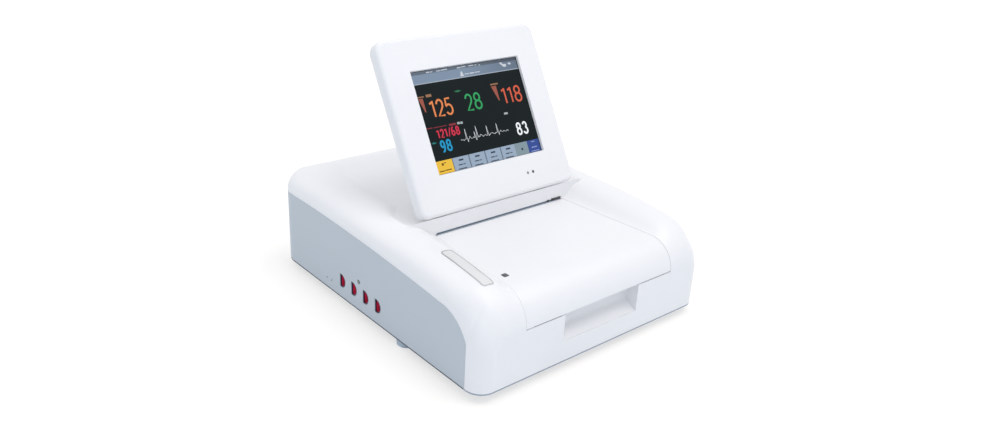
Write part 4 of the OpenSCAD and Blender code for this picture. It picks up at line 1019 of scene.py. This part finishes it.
def make_picture():
    """Bars, keys, numbers and marks of the lit picture."""
    left, right = 0.9, 131.6
    keys = (86.8, 99.3)
    ends = (left, 20.0, 40.2, 60.2, 80.3, 99.3, 115.9, right)
    shown("screen_header", bars((left, right, 3.2, 11.8)), (0.19, 0.25, 0.335), fade=0.5)
    # The header's darker top band is partly painted shadow of the bezel's upper edge.
    shown("screen_header_top", bars((left, right, 0.3, 3.3)), (0.115, 0.14, 0.18), fade=0.5)
    shown("screen_header_line", bars((left, right, 11.7, 12.5)), (0.36, 0.41, 0.48))
    pale = marks((18.5, 22, 1.6, 2.6), (22.6, 26, 1.8, 2.5), (30.5, 35.5, 1.8, 2.6), (36.2, 43.5, 1.5, 2.4),
                 (55.5, 60, 1.7, 2.7), (61, 66, 1.5, 2.3), (70, 76, 1.5, 2.3), (77.5, 80, 1.7, 2.4),
                 (82.5, 84.5, 2.2, 2.9), (62.5, 68, 8.9, 9.7), (69, 74.5, 8.7, 9.9), (75.5, 82, 8.8, 9.6))
    pale += [patch(outline, mark_lift) for outline in (
        [(57, 11), (58, 8), (58.6, 6.2), (60, 6.2), (60.6, 8), (61.6, 11)],
        [(108.6, 3.6), (112, 3.4), (113.2, 5.4), (117.5, 5.6), (117, 8.2), (113.6, 8.4)],
        [(119.4, 5.2), (122.6, 4.6), (124, 6.4), (121.2, 7.0)])]
    shown("screen_header_marks", pale, (0.55, 0.59, 0.65), 0.9)
    shown("screen_key_gaps", bars((ends[1] - 0.4, ends[6], *keys), lift=0.03), (0.10, 0.135, 0.18))
    shown("screen_keys_grey", bars(*[(ends[k] + 0.6, ends[k + 1] - 0.6, *keys) for k in range(1, 5)]),
          (0.28, 0.355, 0.455))
    shown("screen_key_pale", bars((ends[5] - 0.7, ends[6] - 0.3, *keys)), (0.20, 0.27, 0.31))
    shown("screen_key_yellow", bars((left, ends[1] - 0.3, *keys)), (0.74, 0.46, 0.05))
    shown("screen_key_blue", bars((ends[6], right, *keys)), (0.035, 0.068, 0.26))
    dark = []
    for k in range(1, 5):
        middle = (ends[k] + ends[k + 1]) / 2
        dark += marks(*[(middle + x0, middle + x1, d0, d1) for x0, x1, d0, d1 in (
            (-2.8, 2.8, 89.2, 90.8), (-4.4, 0.4, 94.0, 95.0),
            (1.0, 4.2, 94.1, 94.9), (-5.6, 4.8, 98.0, 98.9))])
    dark.append(patch(circle(1.3, 20, (107.6, 93.7)), mark_lift))
    shown("screen_key_marks", dark, (0.035, 0.05, 0.075), 0.9)
    shown("screen_yellow_marks", marks((7.0, 9.2, 89.2, 91.6), (9.8, 12.0, 88.9, 89.8),
                                       (2.6, 8.4, 96.2, 97.2), (9.0, 16.8, 96.0, 97.0)),
          (0.13, 0.07, 0.012), 0.9)
    shown("screen_blue_marks", marks((121.4, 126.4, 88.2, 89.0), (120.2, 127.6, 93.8, 94.8),
                                     (118.6, 129.4, 97.8, 98.6)), (0.26, 0.33, 0.62), 0.9)
    large, middling, small = (28.6, 46.0), (57.2, 66.2, 0.75), (67.8, 79.8)
    shown("screen_orange", number("125", (11.2, 18.2, 19.0, 27.8, 28.9, 38.0), *large),
          (0.66, 0.21, 0.075), 1.05)
    shown("screen_wedges", [patch([(x0, 25.8), (x1, 25.8), (x1, d1), (x1 - 1.2, d1)])
                            for x0, x1, d1 in ((1.4, 6.6, 39.2), (90.4, 96.8, 41.0))], (0.29, 0.085, 0.06))
    shown("screen_orange_marks", marks((1.2, 8.4, 23.8, 24.9), (10.8, 17.2, 22.8, 25.4),
                                       (90.2, 100.0, 23.2, 24.6)), (0.33, 0.17, 0.09), 0.8)
    shown("screen_amber", number("118", (100.6, 107.6, 108.7, 115.7, 117.0, 126.6), *large),
          (0.56, 0.10, 0.055), 1.05)
    shown("screen_green", number("28", (54.2, 63.2, 64.6, 74.0), *large), (0.03, 0.30, 0.10), 1.05)
    shown("screen_green_mark", [patch([(44, 24.2), (49, 23.4), (53.4, 24.6), (48, 25.8)])],
          (0.03, 0.17, 0.08), 0.8)
    shown("screen_red", number("121", (10.6, 14.6, 15.2, 19.6, 19.8, 23.8), *middling)
          + number("/", (24.2, 27.6), 57.0, 66.4, 0.55)
          + number("68", (28.0, 32.6, 33.4, 38.2), *middling), (0.52, 0.03, 0.065), 1.05)
    shown("screen_red_marks", marks((1.2, 8.0, 54.3, 55.2), (9.4, 25.0, 54.6, 55.3),
                                    (27.6, 35.8, 54.2, 56.2)), (0.26, 0.035, 0.05), 0.8)
    shown("screen_cyan", number("98", (11.2, 17.2, 18.2, 24.6), *small), (0.015, 0.26, 0.47), 1.05)
    shown("screen_teal_mark", [patch([(2, 69.2), (5, 68.2), (8.6, 69.4), (5, 70.2)])],
          (0.02, 0.20, 0.19), 0.8)
    shown("screen_white", number("83", (107.4, 114.4, 115.8, 122.6), 66.2, 79.6), (0.78, 0.80, 0.83))
    shown("screen_pale_marks", marks((37.6, 40.6, 54.0, 56.2), (41.2, 44.2, 54.2, 56.4),
                                     (97.2, 102.0, 54.0, 56.0)), (0.42, 0.46, 0.47), 0.8)
    make_heart_trace()


def make_screen():
    """The glass that the picture lies on."""
    behind = 5
    glass = display_box("screen_cover", around(0, window_w / 2 + behind), (disp_wall, disp_wall + glass_t),
                        around(window_u, window_h / 2 + behind))
    finished(glass, "display", "screen_glass", "touch_glass")
    make_picture()


# Paper table

def make_paper_table():
    """The table's flat top, its round front lip and the hole for its key."""
    rear, lip_y = slot_y - 1.1, front_y + lip_r
    outline = [(rear, table_z - table_t), (rear, table_z)]
    outline += arc(lip_y, lip_z, lip_r, lip_r, 90, 90, 40)
    outline += reversed(arc(lip_y, lip_z, lip_r - table_t, lip_r - table_t, 90, 90, 40))
    edge = table_gap - 0.25
    table = skin("paper_table_top", [[(side * (table_half(y) - edge), y, z) for y, z in outline]
                                     for side in (-1, 1)])
    hole = button_w / 2 + 0.2
    soften(table, 0.4, 3)
    cut(table, block("key_hole", around(button_x, hole), around(button_y, hole),
                     (table_z - table_t - 1, table_z + 1)))
    return finished(table, "table", "white_shell", "paper_table")


def make_lip_shadows():
    """Dark strips of painted shadow on the housing's front edge, where the table's lip closes."""
    near, far, below, above = recess_w / 2 + 3.5, 84, 0.3, 0.45
    for side, name in ((-1, "lip_rest_left"), (1, "lip_rest_right")):
        lip_gap_shade = block(name, sorted((side * near, side * far)),
                     (front_y + 0.5, front_y + 2.4), (recess_top - below, recess_top + above))
        soften(lip_gap_shade, 0.1)
        finished(lip_gap_shade, "housing", "bumper_rubber", material=FINISHES["seal_grey"])


def make_slot_guide():
    """The lip under the tear bar that leads the paper out."""
    guide = block("slot_guide", around(0, slot_half - 0.2), (slot_y - 0.75, slot_y + 0.25),
                  (table_z - 3, table_z + 0.5))
    soften(guide, 0.1)
    finished(guide, "housing", "tear_edge")


def make_label_plate():
    """The bare plate on the left rail, with a raised edge."""
    front, rear = front_y + 29, front_y + 88
    width, sunk, rim_t, rim_h, face_in, face_h = 12.5, 0.25, 0.55, 0.9, 0.3, 0.55
    x1 = half_w - crest_inset
    x0 = x1 - width
    corner, rows, steps = 2.5, 12, 48

    def form(name, inside, low, high):
        y0, y1 = front + inside, rear - inside
        rings = []
        for j in range(steps + 1):
            y = y0 + (y1 - y0) * (1 - cos(pi * j / steps)) / 2
            drawn = inside + arc_drop(corner, y0 + corner - y) + arc_drop(corner, y - y1 + corner)
            xs = [x0 + drawn + (x1 - x0 - 2 * drawn) * k / rows for k in range(rows + 1)]
            rings.append([(-x, y, slope_z(x, y) + low) for x in xs]
                         + [(-x, y, slope_z(x, y) + high) for x in reversed(xs)])
        return skin(name, rings)

    edge = form("label_edge", 0, -sunk, rim_h)
    cut(edge, form("label_field", rim_t, -1.0, 2.0))
    finished(edge, "housing", "label_silver", material=FINISHES["label_rim"])
    return finished(form("label_badge", face_in, -sunk, face_h), "housing", "label_silver", "label_plate")


# Sensor sockets

def make_sockets():
    """Moulded sockets with a keyed well: a dark navy collar in front of a red shell. The collar's darkness is
    partly painted shade of the well's mouth.
    """
    (y, z), (next_y, _) = socket_places()[:2]
    row = (len(SOCKETS), (0, y, z), (0, next_y - y, 0), "socket_red")
    sunk, depth, collar_t, well_wall, flange_t, floor_t = 0.15, 17, 1.3, 1.1, 1.5, 2
    x0, x1 = -half_w + sunk, -half_w + depth
    joint, flange_x, well = x0 + collar_t, -half_w + wall, socket_outline(-well_wall)
    collar = across("socket_collar", x0, joint, socket_outline())
    soften(collar, 0.3)
    cut(collar, across("well", x0 - 1, joint + 1, well))
    finished(repeated("socket_collars", collar, *row), "housing", "socket_red",
             material=FINISHES["socket_navy"])
    shell = across("socket_form", joint, x1, socket_outline())
    fuse(shell, across("flange", flange_x, flange_x + flange_t, socket_outline(socket_flange)))
    cut(shell, across("well", x0 - 1, x1 - floor_t, well))
    finished(repeated("socket_shells", shell, *row), "housing", "socket_red", *SOCKETS)


# Paper stack

def make_paper_stack():
    """Fan-fold sheets, each a hair out of line with the next."""
    low, high = corners("paper_pack")
    sheets, margin = 40, 0.3
    pitch = (high.z - low.z) / sheets
    sheet = block("sheet", (low.x + margin, high.x - margin), (low.y + margin, high.y - margin),
                  (0, pitch * 0.8))
    stack = repeated("paper_stack", sheet, sheets, (0, 0, low.z), (0, 0, pitch), "chart_paper",
                     stray=(0.25, 0.3, 0))
    finished(stack, "housing", "chart_paper", "paper_pack")


# The construction's own nodes keep their shape and get a finish and soft edges

def smooth_steps():
    """A tree that smooths a node's faces and keeps its sharp edges."""
    steps = Steps("smooth_faces")
    plain = steps.node("RemoveAttribute", {
        "Geometry": Tone(steps, steps.source.outputs[0]), "Name": "custom_normal"})
    sharp = steps.node("FunctionNodeCompare", {
        "A": steps.node("InputMeshEdgeAngle"),
        "B": steps.given("Sharp angle", "Float", radians(34))}, operation="GREATER_THAN")
    soft = steps.node("SetShadeSmooth", {"Geometry": plain}, domain="FACE")
    steps.feed(steps.sink.inputs[0], steps.node("SetShadeSmooth", {
        "Geometry": soft, "Selection": sharp, "Shade Smooth": False}, domain="EDGE"))
    return steps


def dress_nodes():
    """Gives each node that no other piece stands for its finish and its soft edges."""
    steps = smooth_steps()
    slots = {row["node"]: row["material_slot"] for row in frame["record"]["subparts"]}
    same, plain_edge, sharp = 1e-6, 0.2, 50
    edges = {"rubber_feet": 1.2, "table_button": 0.3, "slot_tab": 0.15, "tear_bar": 0.15, "mains_inlet": 0.5}
    for name, node in frame["nodes"].items():
        if node.hide_render:
            continue
        for slot in node.material_slots:
            slot.material = FINISHES[slots[name]]
        node.modifiers.new("weld", "WELD").merge_threshold = same
        add_bevel(node, edges.get(name, plain_edge), sharp)
        steps.put_on(node)


# Floor, light and camera

def seen_rays(tree):
    """The camera's own rays, and all that see the white background."""
    rays = tree.tree.nodes.new("ShaderNodeLightPath")
    camera, glossy_ray, through = (Tone(tree, rays.outputs[f"Is {kind} Ray"])
                                   for kind in ("Camera", "Glossy", "Transmission"))
    return camera, camera + glossy_ray + through


def blend(tree, amount, plain, glow, output):
    """Ends a tree in a mix of two shaders."""
    mixed = tree.node("MixShader", {"Fac": amount, "Shader": plain, "Shader_001": glow})
    tree.feed(tree.tree.nodes[output].inputs["Surface"], mixed)


def make_floor():
    """A pale floor that keeps the shadow and is seen as white further out."""
    size, near, far = 12.0, 0.6, 1.8
    mesh = bpy.data.meshes.new("floor")
    mesh.from_pydata([(x, y, 0) for x, y in box_outline(-size, size, -size, size)], [], [(0, 1, 2, 3)])
    finish = Finish("floor", Roughness=0.9, Specular_IOR_Level=0.0)
    camera, seen = seen_rays(finish)
    finish.set("Base Color", finish.mix(camera, (0.88, 0.91, 0.94), (0.93, 0.89, 0.84)))
    away = finish.node("VectorMath", {"Vector": finish.place()}, "Value", operation="LENGTH")
    share = finish.node("MapRange", {
        "Value": away, "From Min": near, "From Max": far, "To Min": 0.5, "To Max": 1.0}, output="Result")
    glow = finish.node("Emission", {"Strength": 1.2})
    blend(finish, seen * share, Tone(finish, finish.shader.outputs[0]), glow, "Material Output")
    mesh.materials.append(finish.material)
    added("floor", mesh)


def make_world():
    """A soft cool sky that is seen as plain white."""
    world = bpy.data.worlds.new("studio")
    bpy.context.scene.world = world
    world.use_nodes = True
    tree = Tree(world.node_tree)
    world.node_tree.nodes.remove(world.node_tree.nodes["Background"])
    sky = tree.node("Background", {"Color": (0.89, 0.93, 1.0), "Strength": 0.68})
    white = tree.node("Background", {"Color": (1, 1, 1), "Strength": 1.0})
    blend(tree, seen_rays(tree)[1], sky, white, "World Output")


def make_lamp(name, place, target, size, power, colour):
    lamp = bpy.data.lights.new(name, "AREA")
    lamp.shape = "DISK"
    lamp.size, lamp.energy, lamp.color = size, power, colour
    obj = added(name, lamp)
    obj.location = place
    obj.rotation_euler = (Vector(target) - Vector(place)).to_track_quat("-Z", "Y").to_euler()


def make_camera():
    """The photograph's view, from a fit of its corners to the object's real sizes."""
    azimuth, elevation, roll = radians(-41.88), radians(23.88), radians(3.32)
    focal_px, frame_w, sensor = 880.57, 1000, 36.0
    shift_x, shift_y, distance, raised = -21.24, -106.46, 942.83, 43.47
    back = Vector((sin(azimuth) * cos(elevation), -cos(azimuth) * cos(elevation), sin(elevation)))
    right = Vector((0, 0, 1)).cross(back).normalized()
    up = back.cross(right)
    turned = (right * cos(roll) + up * sin(roll), up * cos(roll) - right * sin(roll), back)
    basis = Matrix(turned).transposed()
    place = -(basis @ Vector((shift_x, shift_y, -distance))) - Vector((0, 0, raised))
    data = bpy.data.cameras.new("camera")
    data.sensor_width = sensor
    data.lens = focal_px / frame_w * sensor
    camera = added("camera", data)
    camera.matrix_world = Matrix.Translation(place * MM) @ basis.to_4x4()
    bpy.context.scene.camera = camera


for make in (make_camera, make_housing, make_side_panels, make_edge_shadows, make_bezel, make_back_cover,
             make_screen, make_paper_table, make_lip_shadows, make_slot_guide, make_label_plate,
             make_sockets, make_paper_stack, dress_nodes, make_floor, make_world):
    make()
make_lamp("key", (0.5, -0.6, 1.9), (0, 0, 0.1), 1.6, 17, (1.0, 0.955, 0.93))
make_lamp("fill", (-1.4, -1.3, 0.8), (0, 0, 0.1), 1.4, 4.5, (0.82, 0.91, 1.0))
make_lamp("back", (-0.5, 1.1, 1.6), (0, 0.05, 0.1), 1.8, 6, (1.0, 0.96, 0.91))
bpy.context.scene.view_settings.view_transform = "Standard"
